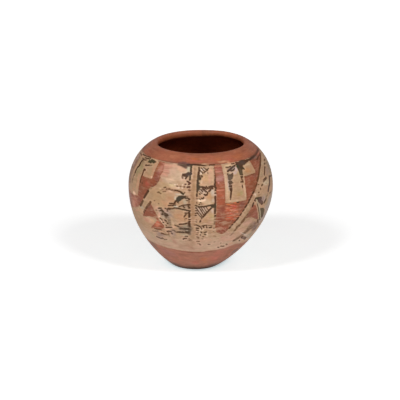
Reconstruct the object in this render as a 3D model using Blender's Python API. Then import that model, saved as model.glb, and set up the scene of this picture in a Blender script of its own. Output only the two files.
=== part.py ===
"""Hand-coiled clay jar with a slipped and painted wall.

The jar is built the way the real one is: a moulded base pat, coils laid one on
another up to the lip, and thin coats of coloured slip over the clay. Lengths are
in metres and +Z is up. The origin is on the table, under the middle of the mouth.
Each piece is a section, drawn as (radius, height) points, that is turned about Z
and then leaned with the wall, because the foot of the jar is off centre.
"""

import math

import bmesh
import bpy
import numpy as np

# Driving dimensions of the clay body
HEIGHT = 0.1326
BELLY_RADIUS = 0.076
BELLY_HEIGHT = 0.085
LIP_RADIUS = 0.0478
FOOT_RADIUS = 0.025
FOOT_FLARE = 0.002
FOOT_DRIFT = 0.0057
WALL = 0.006

# Driving dimensions of the coils and the slip coats
BASE_PAT_HEIGHT = 0.024
COIL_LEAN = 0.003
BARE_FOOT_HEIGHT = 0.0012
BASE_BAND = 0.0437
RIM_BAND = 0.0153
LIP_SLIP_RUN = 0.0048
SLIP = 0.0004
GAP = 0.0003
WELD_DISTANCE = 0.000001

# How many coils lie between the base pat and the rim coil
COIL_COUNT = 6

# Curve handles of the wall, as shares of the heights and widths that they follow
LOWER_HANDLE_share = 0.59
UPPER_HANDLE_share = 0.73
SHOULDER_REACH_share = 0.08
DRIFT_POWER = 1.6

# Fineness of the turned pieces
FACETS = 40
CURVE_STEPS = 192
ROWS_PER_CURVE = 16
LIP_STEPS = 6
FLOOR_STEPS = 2
SMOOTH_ANGLE = math.radians(35)

# Fired and painted colours as linear red, green and blue, with their roughness
RED_SLIP = ((0.36, 0.115, 0.055), 0.48)
CREAM_SLIP = ((0.52, 0.36, 0.22), 0.52)
BASE_CLAY = ((0.30, 0.12, 0.065), 0.7)
COIL_CLAY = ((0.24, 0.10, 0.055), 0.8)
RIM_CLAY = ((0.27, 0.105, 0.055), 0.75)


def bezier(handles, steps):
    """Points of a cubic curve through its first and last handle."""
    share = np.linspace(0.0, 1.0, steps + 1)[:, None]
    start, leave, arrive, end = [np.array(handle) for handle in handles]
    rest = 1.0 - share
    return (rest ** 3 * start + 3.0 * rest ** 2 * share * leave
            + 3.0 * rest * share ** 2 * arrive + share ** 3 * end)


def wall_curve():
    """Outer face of the wall from the foot's edge to the crest of the lip."""
    lower = bezier([
        (FOOT_RADIUS, 0.0),
        (FOOT_RADIUS + FOOT_FLARE, 0.0),
        (BELLY_RADIUS, BELLY_HEIGHT * (1.0 - LOWER_HANDLE_share)),
        (BELLY_RADIUS, BELLY_HEIGHT),
    ], CURVE_STEPS)
    rise = HEIGHT - BELLY_HEIGHT
    upper = bezier([
        (BELLY_RADIUS, BELLY_HEIGHT),
        (BELLY_RADIUS, BELLY_HEIGHT + UPPER_HANDLE_share * rise),
        (LIP_RADIUS + SHOULDER_REACH_share * (BELLY_RADIUS - LIP_RADIUS), HEIGHT),
        (LIP_RADIUS, HEIGHT),
    ], CURVE_STEPS)
    return np.vstack([lower, upper[1:]])


class Wall:
    """The jar's wall, read by slant (length along its outer face) and depth into the clay."""

    def __init__(self):
        self.points = wall_curve()
        strides = np.hypot(*np.diff(self.points, axis=0).T)
        self.slants = np.concatenate([[0.0], np.cumsum(strides)])
        along = np.gradient(self.points, axis=0)
        along /= np.hypot(*along.T)[:, None]
        self.normals = np.column_stack([along[:, 1], -along[:, 0]])
        self.length = self.slants[-1]
        self.rows = self.slants[::CURVE_STEPS // ROWS_PER_CURVE]

    def at(self, slant, depth):
        """Point of the section at one slant and depth."""
        place = [np.interp(slant, self.slants, self.points[:, axis]) for axis in (0, 1)]
        normal = [np.interp(slant, self.slants, self.normals[:, axis]) for axis in (0, 1)]
        scale = depth / math.hypot(*normal)
        return (place[0] - normal[0] * scale, place[1] - normal[1] * scale)

    def run(self, first, last, depth):
        """Points from one slant to another at one depth, on the rows that all pieces share."""
        low, high = min(first, last), max(first, last)
        between = [slant for slant in self.rows if low + GAP < slant < high - GAP]
        slants = [low, *between, high]
        if first > last:
            slants.reverse()
        return [self.at(slant, depth) for slant in slants]

    def slant_at(self, height):
        """Slant where the outer face reaches a height."""
        return float(np.interp(height, self.points[:, 1], self.slants))

    def lip(self, depth):
        """Half turn over the lip, from the outer face to the inner one, without its ends."""
        radius = WALL / 2.0
        turns = np.linspace(0.0, math.pi, LIP_STEPS + 1)[1:-1]
        return [
            (LIP_RADIUS - (radius - depth) * math.sin(turn),
             HEIGHT - radius + (radius - depth) * math.cos(turn))
            for turn in turns
        ]


def foot_drift(height):
    """Sideways place of the wall's middle, which leaves the axis below the belly."""
    share = max(0.0, 1.0 - height / BELLY_HEIGHT)
    return -FOOT_DRIFT * share ** DRIFT_POWER


def make_material(name, finish):
    """Plain fired-clay material with the colour and roughness of one piece."""
    colour, roughness = finish
    material = bpy.data.materials.new(name)
    material.use_nodes = True
    shader = material.node_tree.nodes["Principled BSDF"]
    shader.inputs["Base Color"].default_value = (*colour, 1.0)
    shader.inputs["Roughness"].default_value = roughness
    shader.inputs["Metallic"].default_value = 0.0
    material.diffuse_color = (*colour, 1.0)
    return material


def turned_piece(name, section, finish, closed=True):
    """Turn a section about Z, lean it with the wall and make it one object.

    A closed section makes a ring. An open one starts and ends on the axis.
    """
    shape = bmesh.new()
    corners = [shape.verts.new((radius, 0.0, height)) for radius, height in section]
    pairs = list(zip(corners, corners[1:]))
    if closed:
        pairs.append((corners[-1], corners[0]))
    edges = [shape.edges.new(pair) for pair in pairs]
    bmesh.ops.spin(shape, geom=corners + edges, cent=(0.0, 0.0, 0.0), axis=(0.0, 0.0, 1.0),
                   angle=math.tau, steps=FACETS, use_merge=True)
    bmesh.ops.remove_doubles(shape, verts=shape.verts, dist=WELD_DISTANCE)
    for corner in shape.verts:
        corner.co.x += foot_drift(corner.co.z)
    bmesh.ops.recalc_face_normals(shape, faces=shape.faces)
    mesh = bpy.data.meshes.new(name)
    shape.to_mesh(mesh)
    shape.free()
    mesh.shade_smooth()
    mesh.set_sharp_from_angle(angle=SMOOTH_ANGLE)
    mesh.materials.append(make_material(name, finish))
    piece = bpy.data.objects.new(name, mesh)
    bpy.context.scene.collection.objects.link(piece)
    return piece


def joint_slant(middle, depth):
    """Slant of a coil joint at one depth.

    Each coil is pressed down inside the edge below it, so its joint is lower on
    the inside of the jar than on the outside.
    """
    return middle + COIL_LEAN * (0.5 - depth / WALL)


def joint_middles(wall):
    """Slants of the joints, from the top of the base pat to the foot of the rim coil."""
    first = wall.slant_at(BASE_PAT_HEIGHT)
    pitch = (wall.length - first) / (COIL_COUNT + 1)
    return [first + pitch * index for index in range(COIL_COUNT + 1)]


def make_base_pat(wall, joint):
    """Moulded dish under the coils, with its flat foot left bare of slip."""
    cover = SLIP + GAP
    bare = wall.slant_at(BARE_FOOT_HEIGHT)
    foot = [(FOOT_RADIUS * step / FLOOR_STEPS, 0.0) for step in range(FLOOR_STEPS + 1)]
    edge = [wall.at(bare, 0.0)]
    outer = wall.run(bare, joint_slant(joint, cover) - GAP / 2.0, cover)
    inner = wall.run(joint_slant(joint, WALL) - GAP / 2.0, 0.0, WALL)
    floor = [(FOOT_RADIUS * step / FLOOR_STEPS, WALL) for step in reversed(range(FLOOR_STEPS))]
    section = foot + edge + outer + inner + floor
    return turned_piece("base_pat", section, BASE_CLAY, closed=False)


def make_coil(wall, name, low, high):
    """One coil of the wall, between two joints."""
    cover = SLIP + GAP
    outer = wall.run(joint_slant(low, cover) + GAP / 2.0, joint_slant(high, cover) - GAP / 2.0,
                     cover)
    inner = wall.run(joint_slant(high, WALL) - GAP / 2.0, joint_slant(low, WALL) + GAP / 2.0,
                     WALL)
    return turned_piece(name, outer + inner, COIL_CLAY)


def make_rim_coil(wall, low):
    """Last coil, rounded over into the lip and slipped on both of its faces."""
    cover = SLIP + GAP
    slip_end = wall.length - LIP_SLIP_RUN
    outer = wall.run(joint_slant(low, cover) + GAP / 2.0, wall.length, cover)
    lip = wall.lip(cover)
    under_slip = wall.run(wall.length, slip_end - GAP, WALL - cover)
    inner = wall.run(slip_end - GAP, joint_slant(low, WALL) + GAP / 2.0, WALL)
    return turned_piece("rim_coil", outer + lip + under_slip + inner, RIM_CLAY)


def make_wall_slip(wall, name, low, high, finish):
    """Thin coat of slip over the outside of the wall, between two slants."""
    outer = wall.run(low, high, 0.0)
    inner = wall.run(high, low, SLIP)
    return turned_piece(name, outer + inner, finish)


def make_rim_slip(wall, low):
    """Coat of slip from the shoulder over the lip and a little way down inside."""
    slip_end = wall.length - LIP_SLIP_RUN
    outer = wall.run(low, wall.length, 0.0)
    outer += wall.lip(0.0)
    outer += wall.run(wall.length, slip_end, WALL)
    inner = wall.run(slip_end, wall.length, WALL - SLIP)
    inner += reversed(wall.lip(SLIP))
    inner += wall.run(wall.length, low, SLIP)
    return turned_piece("rim_red_slip", outer + inner, RED_SLIP)


def clear_scene():
    """Remove every object that the file holds."""
    for item in list(bpy.data.objects):
        bpy.data.objects.remove(item, do_unlink=True)


def main():
    """Build the jar from the foot up, then coat it."""
    clear_scene()
    wall = Wall()
    joints = joint_middles(wall)
    make_base_pat(wall, joints[0])
    for index in range(COIL_COUNT):
        make_coil(wall, f"coil_{index + 1}", joints[index], joints[index + 1])
    make_rim_coil(wall, joints[-1])
    bare = wall.slant_at(BARE_FOOT_HEIGHT) + GAP
    cream_top = wall.length - RIM_BAND
    make_wall_slip(wall, "base_red_slip", bare, BASE_BAND - GAP, RED_SLIP)
    make_wall_slip(wall, "cream_slip", BASE_BAND, cream_top - GAP, CREAM_SLIP)
    make_rim_slip(wall, cream_top)


main()
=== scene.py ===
"""Visual model of a hand-coiled clay jar with a slipped and painted wall.

The jar is dressed the way it was made: a moulded base pat, coils, a rim coil, then thin
coats of red and cream slip, and brushwork in black and red on the cream. Lengths are in
metres in the CAD frame. Places on the wall are given as a turn in degrees from the front
(plus is to the right) and a slant in millimetres up the outer face from the foot's edge.
"""

import logging
import math
from collections.abc import Sequence
from dataclasses import dataclass, field
from enum import Enum

import bpy
import numpy as np
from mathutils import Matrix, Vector
from mathutils.kdtree import KDTree

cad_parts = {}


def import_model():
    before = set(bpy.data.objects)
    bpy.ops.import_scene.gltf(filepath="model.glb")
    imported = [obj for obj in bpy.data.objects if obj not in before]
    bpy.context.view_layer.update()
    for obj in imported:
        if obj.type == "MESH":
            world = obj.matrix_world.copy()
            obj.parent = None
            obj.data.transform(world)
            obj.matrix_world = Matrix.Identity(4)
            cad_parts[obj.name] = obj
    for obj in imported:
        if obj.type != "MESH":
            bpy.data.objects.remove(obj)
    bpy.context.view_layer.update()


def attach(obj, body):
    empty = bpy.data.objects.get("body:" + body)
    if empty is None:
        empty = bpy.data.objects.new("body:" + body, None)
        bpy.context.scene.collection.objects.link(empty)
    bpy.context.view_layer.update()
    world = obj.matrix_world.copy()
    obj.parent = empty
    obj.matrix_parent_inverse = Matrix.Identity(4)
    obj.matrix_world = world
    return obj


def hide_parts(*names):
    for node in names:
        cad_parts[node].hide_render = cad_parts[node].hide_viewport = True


log = logging.getLogger("jar")

Pair = tuple[float, float]
Colour = tuple[float, float, float]
Row = Sequence[float]
Piece = bpy.types.Object
Mesh = bpy.types.Mesh
Material = bpy.types.Material
Node = bpy.types.Node
Tree = bpy.types.NodeTree
Socket = bpy.types.NodeSocket

MM = 0.001
BODY = "root"
WELD = 0.000002
SMOOTH_ANGLE = math.radians(40.0)
WHITE = (1.0, 1.0, 1.0)
QUAD = 4
DAB_REACH = 0.35


class Slot(Enum):
    """Material slots of the record."""

    BARE_CLAY = "bare_clay"
    RED_SLIP = "red_slip"
    CREAM_SLIP = "cream_slip"


class Half(Enum):
    """Halves of the painted wall, each with the turn in degrees of its middle."""

    FRONT = 0.0
    BACK = 180.0


class Ink(Enum):
    """Colours of the filled shapes, where cream is slip left bare inside a red shape."""

    BLACK = "black"
    RED = "red"
    CREAM = "cream"


class Layer(Enum):
    """Colours kept at each corner of a mesh: of the ground, of the red and of the black."""

    GROUND = "ground"
    RED = "red_tint"
    INK = "ink_tint"


class Kept(Enum):
    """Numbers kept at each corner of a mesh: edges are distances in mm, minus inside a mark."""

    SLANT = "slant"
    BLACK_EDGE = "black_edge"
    BLACK_LOAD = "black_load"
    RED_EDGE = "red_edge"
    WEAR = "wear"


def fired(red: int, green: int, blue: int) -> Colour:
    """Return a linear colour from the values, 0 to 255, that a screen shows it with."""
    return tuple(float(((part / 255.0 + 0.055) / 1.055) ** 2.4) for part in (red, green, blue))


def turn_of(places: np.ndarray) -> np.ndarray:
    """Return the turn of each point in degrees from the front, plus to the right."""
    return np.degrees(np.arctan2(places[:, 0], -places[:, 1]))


def reach_of(places: np.ndarray) -> np.ndarray:
    """Return how far each point lies from the axis."""
    return np.hypot(places[:, 0], places[:, 1])


# ---- The wall's form ----


@dataclass(frozen=True)
class WallForm:
    """Section of the jar, read by slant (length along the outer face) and depth."""

    height: float = 0.1326
    belly_radius: float = 0.076
    belly_height: float = 0.085
    lip_radius: float = 0.0478
    foot_radius: float = 0.025
    foot_flare: float = 0.002
    foot_drift: float = 0.0057
    thickness: float = 0.006
    lower_handle: float = 0.59
    upper_handle: float = 0.73
    shoulder_reach: float = 0.08
    drift_power: float = 1.6
    steps: int = 600
    points: np.ndarray = field(init=False, repr=False)
    slants: np.ndarray = field(init=False, repr=False)
    normals: np.ndarray = field(init=False, repr=False)
    length: float = field(init=False)

    def __post_init__(self) -> None:
        """Measure the outer face once."""
        rise = self.height - self.belly_height
        lower = self._bezier((
            (self.foot_radius, 0.0),
            (self.foot_radius + self.foot_flare, 0.0),
            (self.belly_radius, self.belly_height * (1.0 - self.lower_handle)),
            (self.belly_radius, self.belly_height)))
        upper = self._bezier((
            (self.belly_radius, self.belly_height),
            (self.belly_radius, self.belly_height + self.upper_handle * rise),
            (self.lip_radius + self.shoulder_reach * (self.belly_radius - self.lip_radius),
             self.height),
            (self.lip_radius, self.height)))
        points = np.vstack([lower, upper[1:]])
        slants = np.concatenate([[0.0], np.cumsum(np.hypot(*np.diff(points, axis=0).T))])
        along = np.gradient(points, axis=0)
        along /= np.hypot(*along.T)[:, None]
        object.__setattr__(self, "points", points)
        object.__setattr__(self, "slants", slants)
        object.__setattr__(self, "normals", np.column_stack([along[:, 1], -along[:, 0]]))
        object.__setattr__(self, "length", float(slants[-1]))

    def _bezier(self, handles: Sequence[Pair]) -> np.ndarray:
        """Draw a cubic curve.

        Args:
            handles: Its four handles as (radius, height).

        Returns:
            Points of the curve, both ends included.
        """
        share = np.linspace(0.0, 1.0, self.steps + 1)[:, None]
        start, leave, arrive, end = (np.array(handle) for handle in handles)
        rest = 1.0 - share
        return (rest ** 3 * start + 3.0 * rest ** 2 * share * leave
                + 3.0 * rest * share ** 2 * arrive + share ** 3 * end)

    def at(self, slant: float, depth: float) -> Pair:
        """Find one point of the section.

        Args:
            slant: Length up the outer face.
            depth: Depth below the outer face.

        Returns:
            The point as (radius, height).
        """
        place = [np.interp(slant, self.slants, self.points[:, axis]) for axis in (0, 1)]
        normal = [np.interp(slant, self.slants, self.normals[:, axis]) for axis in (0, 1)]
        scale = depth / math.hypot(*normal)
        return (float(place[0] - normal[0] * scale), float(place[1] - normal[1] * scale))

    def run(self, first: float, last: float, depth: float, stride: float) -> list[Pair]:
        """Follow the section from one slant to another.

        Args:
            first: Slant of the first point.
            last: Slant of the last point.
            depth: Depth below the outer face.
            stride: Longest distance between points.

        Returns:
            Section points as (radius, height), both ends included.
        """
        count = max(1, math.ceil(abs(last - first) / stride))
        return [self.at(float(slant), depth) for slant in np.linspace(first, last, count + 1)]

    def lip(self, depth: float, steps: int) -> list[Pair]:
        """Follow the half turn over the lip from outside to inside.

        Args:
            depth: Depth below the outer face.
            steps: Steps of the half turn.

        Returns:
            Section points as (radius, height), without the ends.
        """
        radius = self.thickness / 2.0
        turns = np.linspace(0.0, math.pi, steps + 1)[1:-1]
        return [(self.lip_radius - (radius - depth) * math.sin(turn),
                 self.height - radius + (radius - depth) * math.cos(turn)) for turn in turns]

    def slant_at(self, height: float) -> float:
        """Return the slant where the outer face reaches a height."""
        return float(np.interp(height, self.points[:, 1], self.slants))

    def radius_at(self, slant: np.ndarray) -> np.ndarray:
        """Return the outer radius at each slant."""
        return np.interp(slant, self.slants, self.points[:, 0])

    def sunk(self, places: np.ndarray) -> np.ndarray:
        """Return how far each point above the belly lies straight below the outer face."""
        upper = self.points[::-1][:self.steps]
        return np.interp(reach_of(places), upper[:, 0], upper[:, 1]) - places[:, 2]

    def drift(self, height: np.ndarray) -> np.ndarray:
        """Return how far the wall's middle leans sideways at each height."""
        share = np.clip(1.0 - height / self.belly_height, 0.0, None)
        return -self.foot_drift * share ** self.drift_power


@dataclass(frozen=True)
class CoatSizes:
    """Lengths along the wall where the coats of slip begin and end, and their thickness."""

    bare_height: float = 0.0012
    base_band: float = 0.0437
    rim_band: float = 0.0153
    inner_run: float = 0.0048
    slip: float = 0.0004
    gap: float = 0.0003
    seam: float = 0.0001

    @property
    def cover(self) -> float:
        """Return the depth of the clay's face under a coat."""
        return self.slip + self.gap


@dataclass(frozen=True)
class HandMarks:
    """What the potter's hand leaves uneven in the turned form.

    The waves are rows of size, waves round the jar, rise and offset. The hang of the lip's
    inside and the dip of its crest are in millimetres at the turns of the stops.
    """

    depth: float = 0.00028
    level: float = 0.55
    swing: float = 0.6
    foot_reach: float = 0.02
    narrowest: float = 0.004
    waves: tuple[Row, ...] = (
        (0.30, 3.0, 5.2, 0.6), (0.24, 5.0, -9.0, 0.0), (0.20, 2.0, 14.0, 2.1),
        (0.12, 9.0, 21.0, 4.0))
    stops: Row = (0.0, 150.0, 158.0, 168.0, 180.0, 240.0, 275.0, 310.0, 360.0)
    hang: Row = (0.0, 0.0, 0.0, 1.0, 1.6, 1.7, 1.2, 0.0, 0.0)
    dip: Row = (0.0, 0.0, 0.2, 0.4, 0.5, 0.4, 0.7, 0.2, 0.0)
    hang_start: float = 0.025
    hang_fade: float = 0.017
    crest: float = 0.012

    def pressed(self, places: np.ndarray, wall: WallForm) -> np.ndarray:
        """Find how far the hand has pressed each point towards the axis.

        Args:
            places: Points before the lean, one per row.
            wall: Form of the wall.

        Returns:
            Shares of the reach that are left, none above 1.
        """
        turn = np.radians(turn_of(places))
        rise = places[:, 2] / wall.height
        waves = sum(size * np.sin(count * turn + climb * rise + offset)
                    for size, count, climb, offset in self.waves)
        near_foot = np.clip(places[:, 2] / self.foot_reach, 0.0, 1.0)
        dips = self.depth * near_foot * np.clip(self.level + self.swing * waves, 0.0, None)
        return 1.0 - dips / np.maximum(reach_of(places), self.narrowest)

    def sag(self, places: np.ndarray, wall: WallForm) -> np.ndarray:
        """Find how far the lip hangs at each point.

        Args:
            places: Points before the lean, one per row.
            wall: Form of the wall.

        Returns:
            Distances in metres, largest inside the lip at the left and the back.
        """
        turn = turn_of(places) % 360.0
        inner = np.clip(wall.sunk(places) / wall.thickness, 0.0, 1.0)
        above = places[:, 2] - wall.height
        near_lip = np.clip((above + self.hang_start) / self.hang_fade, 0.0, 1.0)
        near_lip = near_lip * near_lip * (3.0 - 2.0 * near_lip)
        crest = np.clip((above + self.crest) / self.crest, 0.0, 1.0) ** 2
        return MM * (np.interp(turn, self.stops, self.hang) * inner * near_lip
                     + np.interp(turn, self.stops, self.dip) * crest)


# ---- Making turned pieces ----


@dataclass
class Turning:
    """Turns sections about the jar's axis into finished pieces."""

    wall: WallForm
    hand: HandMarks = HandMarks()

    def piece(self, name: str, section: Sequence[Pair], columns: int,
              closed: bool = True, half: Half | None = None) -> Piece:
        """Turn a section into one object.

        Args:
            name: Name of the piece.
            section: Corner points as (radius, height).
            columns: Faces round the whole jar.
            closed: Whether the section is a loop, and not a line from axis to axis.
            half: Half of the jar to turn, or None for all of it.

        Returns:
            The new object, with its place in its mesh.
        """
        bpy.ops.object.select_all(action="DESELECT")
        bpy.ops.mesh.primitive_circle_add(vertices=len(section), radius=self.wall.lip_radius)
        piece = bpy.context.active_object
        piece.name = piece.data.name = name
        side = 1.0 if half is None or half is Half.FRONT else -1.0
        for corner, (radius, height) in zip(piece.data.vertices, section):
            corner.co = (side * radius, 0.0, height)
        if not closed:
            self._open_on_axis(piece)
        self._sweep(piece, columns, half)
        bpy.ops.object.mode_set(mode="EDIT")
        bpy.ops.mesh.select_all(action="SELECT")
        bpy.ops.mesh.remove_doubles(threshold=WELD)
        bpy.ops.object.mode_set(mode="OBJECT")
        if half is not None:
            self._face_half(piece, half)
        bpy.ops.object.mode_set(mode="EDIT")
        if half is not None:
            bpy.ops.mesh.select_all(action="DESELECT")
            bpy.ops.mesh.select_non_manifold(extend=False)
            bpy.ops.mesh.edge_face_add()
        bpy.ops.mesh.select_all(action="SELECT")
        bpy.ops.mesh.normals_make_consistent(inside=False)
        bpy.ops.mesh.select_all(action="DESELECT")
        bpy.ops.object.mode_set(mode="OBJECT")
        return piece

    def _sweep(self, piece: Piece, columns: int, half: Half | None) -> None:
        """Sweep a section round the axis.

        Args:
            piece: The section, active and selected.
            columns: Faces round the whole jar.
            half: Half of the jar to sweep, or None for all of it.
        """
        bpy.ops.object.modifier_add(type="SCREW")
        sweep = piece.modifiers[-1]
        sweep.axis = "Z"
        sweep.angle = math.tau if half is None else math.pi
        sweep.steps = sweep.render_steps = columns if half is None else columns // 2
        sweep.use_merge_vertices = True
        sweep.merge_threshold = WELD
        bpy.ops.object.modifier_apply(modifier=sweep.name)

    def _open_on_axis(self, piece: Piece) -> None:
        """Drop the edge that lies on the axis, so that the turned shape has no wire in it.

        Args:
            piece: The section, whose first and last corner lie on the axis.
        """
        last = len(piece.data.vertices) - 1
        bpy.ops.object.mode_set(mode="EDIT")
        bpy.ops.mesh.select_all(action="DESELECT")
        bpy.ops.object.mode_set(mode="OBJECT")
        for edge in piece.data.edges:
            edge.select = set(edge.vertices) == {0, last}
        bpy.ops.object.mode_set(mode="EDIT")
        bpy.context.tool_settings.mesh_select_mode = (False, True, False)
        bpy.ops.mesh.delete(type="EDGE")
        bpy.context.tool_settings.mesh_select_mode = (True, False, False)
        bpy.ops.object.mode_set(mode="OBJECT")

    def _face_half(self, piece: Piece, half: Half) -> None:
        """Turn a half over if the sweep went round the other way.

        Args:
            piece: The half.
            half: Which half it is.
        """
        places = coordinates(piece.data)
        wanted = -1.0 if half is Half.FRONT else 1.0
        if places[:, 1].mean() * wanted < 0.0:
            places[:, 1] *= -1.0
            place_all(piece.data, places)

    def complete(self, piece: Piece, material: Material, slot: Slot, node: str) -> None:
        """Shape a piece by hand, lean it with the wall, smooth its faces, dress and settle it.

        Args:
            piece: The turned piece.
            material: Its only material.
            slot: Material slot of the record.
            node: CAD node that the piece replaces.
        """
        places = coordinates(piece.data)
        share = self.hand.pressed(places, self.wall)
        places[:, 0] *= share
        places[:, 1] *= share
        places[:, 2] -= self.hand.sag(places, self.wall)
        places[:, 0] += self.wall.drift(places[:, 2])
        place_all(piece.data, places)
        bpy.ops.object.select_all(action="DESELECT")
        piece.select_set(True)
        bpy.context.view_layer.objects.active = piece
        bpy.ops.object.shade_smooth_by_angle(angle=SMOOTH_ANGLE)
        dress(piece, material)
        settle(piece, slot, node)


def coordinates(mesh: Mesh) -> np.ndarray:
    """Read the places of a mesh's corners.

    Args:
        mesh: The mesh.

    Returns:
        One row of three lengths for each corner.
    """
    flat = np.empty(len(mesh.vertices) * 3, dtype=np.float64)
    mesh.vertices.foreach_get("co", flat)
    return flat.reshape(-1, 3)


def place_all(mesh: Mesh, places: np.ndarray) -> None:
    """Put a mesh's corners at new places."""
    mesh.vertices.foreach_set("co", places.ravel())
    mesh.update()


def keep_values(mesh: Mesh, name: Kept, values: np.ndarray) -> None:
    """Keep one number for each corner of a mesh under a name that materials read."""
    layer = mesh.attributes.new(name.value, "FLOAT", "POINT")
    layer.data.foreach_set("value", values.astype(np.float32))


def keep_colours(mesh: Mesh, name: Layer, colours: np.ndarray) -> None:
    """Keep one colour for each corner of a mesh under a name that materials read.

    Args:
        mesh: The mesh.
        name: Name of the attribute.
        colours: One row of linear red, green and blue for each corner.
    """
    layer = mesh.attributes.new(name.value, "FLOAT_COLOR", "POINT")
    filled = np.column_stack([colours, np.ones(len(colours))]).astype(np.float32)
    layer.data.foreach_set("color", filled.ravel())


def dress(piece: Piece, material: Material) -> None:
    """Give a piece one material."""
    piece.data.materials.clear()
    piece.data.materials.append(material)


def settle(piece: Piece, slot: Slot, *nodes: str) -> None:
    """Fix a finished piece to the jar and say what it stands for.

    Args:
        piece: The finished piece.
        slot: Material slot of the record; not used.
        *nodes: CAD nodes that the piece replaces.
    """
    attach(piece, BODY)
    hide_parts(*nodes)
    log.info("%s: %d faces, for %s", piece.name, len(piece.data.polygons), ", ".join(nodes))


# ---- Shader sheets ----


class Sheet:
    """A node tree with short calls for the nodes that the finishes use."""

    def __init__(self, tree: Tree) -> None:
        """Start on an existing tree."""
        self.tree = tree

    def node(self, kind: str, **settings: object) -> Node:
        """Add one node.

        Args:
            kind: Its type.
            **settings: Its properties.

        Returns:
            The new node.
        """
        made = self.tree.nodes.new(kind)
        for name, value in settings.items():
            setattr(made, name, value)
        return made

    def feed(self, socket: Socket, value: object) -> None:
        """Link a socket to another one, or set its value.

        Args:
            socket: Input of a node.
            value: Output of another node, number or colour.
        """
        if isinstance(value, bpy.types.NodeSocket):
            self.tree.links.new(value, socket)
        elif isinstance(value, tuple) and len(value) == 3 and socket.type == "RGBA":
            socket.default_value = (*value, 1.0)
        else:
            socket.default_value = value

    def math(self, operation: str, *values: object) -> Socket:
        """Add one Math node.

        Args:
            operation: What it does.
            *values: Its inputs in order.

        Returns:
            Its result.
        """
        made = self.node("ShaderNodeMath", operation=operation)
        for socket, value in zip(made.inputs, values):
            self.feed(socket, value)
        return made.outputs[0]

    def times(self, first: object, *others: object) -> Socket:
        """Multiply several values.

        Args:
            first: First value.
            *others: Values that it is multiplied by, in order.

        Returns:
            Their product.
        """
        for other in others:
            first = self.math("MULTIPLY", first, other)
        return first

    def plus(self, first: object, second: object) -> Socket:
        """Return the sum of two values."""
        return self.math("ADD", first, second)

    def minus(self, first: object, second: object) -> Socket:
        """Return the difference of two values."""
        return self.math("SUBTRACT", first, second)

    def brighter(self, colour: object, share: float) -> Socket:
        """Multiply all parts of a colour or place by one number.

        Args:
            colour: The colour or place.
            share: The number.

        Returns:
            The product.
        """
        made = self.node("ShaderNodeVectorMath", operation="SCALE")
        self.feed(made.inputs[0], colour)
        self.feed(made.inputs["Scale"], share)
        return made.outputs[0]

    def step(self, value: object, low: float, high: float) -> Socket:
        """Add a smooth step from 0 at low to 1 at high, or the reverse if low is higher.

        Args:
            value: Value that is stepped.
            low: Where the step starts.
            high: Where it ends.

        Returns:
            The step, 0 to 1.
        """
        made = self.node("ShaderNodeMapRange", interpolation_type="SMOOTHSTEP")
        self.feed(made.inputs["Value"], value)
        ends = (low, high, 0.0, 1.0) if low < high else (high, low, 1.0, 0.0)
        for name, number in zip(("From Min", "From Max", "To Min", "To Max"), ends):
            self.feed(made.inputs[name], number)
        return made.outputs[0]

    def spread(self, value: object, low: float, high: float) -> Socket:
        """Spread a value between 0 and 1 between two others.

        Args:
            value: The value.
            low: Result at 0.
            high: Result at 1.

        Returns:
            The result.
        """
        made = self.node("ShaderNodeMapRange")
        self.feed(made.inputs["Value"], value)
        self.feed(made.inputs["To Min"], low)
        self.feed(made.inputs["To Max"], high)
        return made.outputs[0]

    def mix(self, share: object, first: object, second: object,
            blend: str = "MIX") -> Socket:
        """Mix two colours.

        Args:
            share: Share of the second colour.
            first: First colour.
            second: Second colour.
            blend: How the second colour is laid over the first.

        Returns:
            The mixed colour.
        """
        made = self.node("ShaderNodeMix", data_type="RGBA", blend_type=blend,
                         clamp_factor=True)
        self.feed(made.inputs["Factor"], share)
        self.feed(made.inputs[6], first)
        self.feed(made.inputs[7], second)
        return made.outputs[2]

    def noise(self, places: object, scale: object, detail: float = 3.0,
              roughness: float = 0.55) -> Socket:
        """Add noise around a half.

        Args:
            places: Places that it is read at.
            scale: Waves per millimetre.
            detail: Number of finer waves.
            roughness: Strength of the finer waves.

        Returns:
            The noise.
        """
        made = self.node("ShaderNodeTexNoise")
        self.feed(made.inputs["Vector"], places)
        self.feed(made.inputs["Scale"], scale)
        self.feed(made.inputs["Detail"], detail)
        self.feed(made.inputs["Roughness"], roughness)
        return made.outputs[0]

    def value(self, name: Kept) -> Socket:
        """Return a number kept on the mesh."""
        return self.node("ShaderNodeAttribute", attribute_name=name.value).outputs["Fac"]

    def tint(self, name: Layer) -> Socket:
        """Return a colour kept on the mesh."""
        return self.node("ShaderNodeAttribute", attribute_name=name.value).outputs["Color"]

    def millimetres(self) -> Socket:
        """Return Object coordinates in millimetres."""
        made = self.node("ShaderNodeTexCoord")
        return self.brighter(made.outputs["Object"], 1.0 / MM)

    def group(self, tree: Tree, **values: object) -> Node:
        """Place a shared group.

        Args:
            tree: The group.
            **values: Its inputs, with _ for a space.

        Returns:
            The node of the group.
        """
        made = self.node("ShaderNodeGroup", node_tree=tree)
        for name, value in values.items():
            self.feed(made.inputs[name.replace("_", " ").title()], value)
        return made


def new_group(name: str, inputs: Sequence[tuple[str, str, object]],
              outputs: Sequence[tuple[str, str]]) -> tuple[Tree, Sheet, Node, Node]:
    """Make an empty shader group.

    Args:
        name: Name of the group.
        inputs: Name, kind (Float, Vector or Color) and default of each input.
        outputs: Name and kind of each output.

    Returns:
        The tree, its sheet, its input node and its output node.
    """
    tree = bpy.data.node_groups.new(name, "ShaderNodeTree")
    for label, kind, default in inputs:
        made = tree.interface.new_socket(label, in_out="INPUT",
                                         socket_type=f"NodeSocket{kind}")
        if default is not None:
            made.default_value = default
    for label, kind in outputs:
        tree.interface.new_socket(label, in_out="OUTPUT", socket_type=f"NodeSocket{kind}")
    sheet = Sheet(tree)
    return tree, sheet, sheet.node("NodeGroupInput"), sheet.node("NodeGroupOutput")


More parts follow.
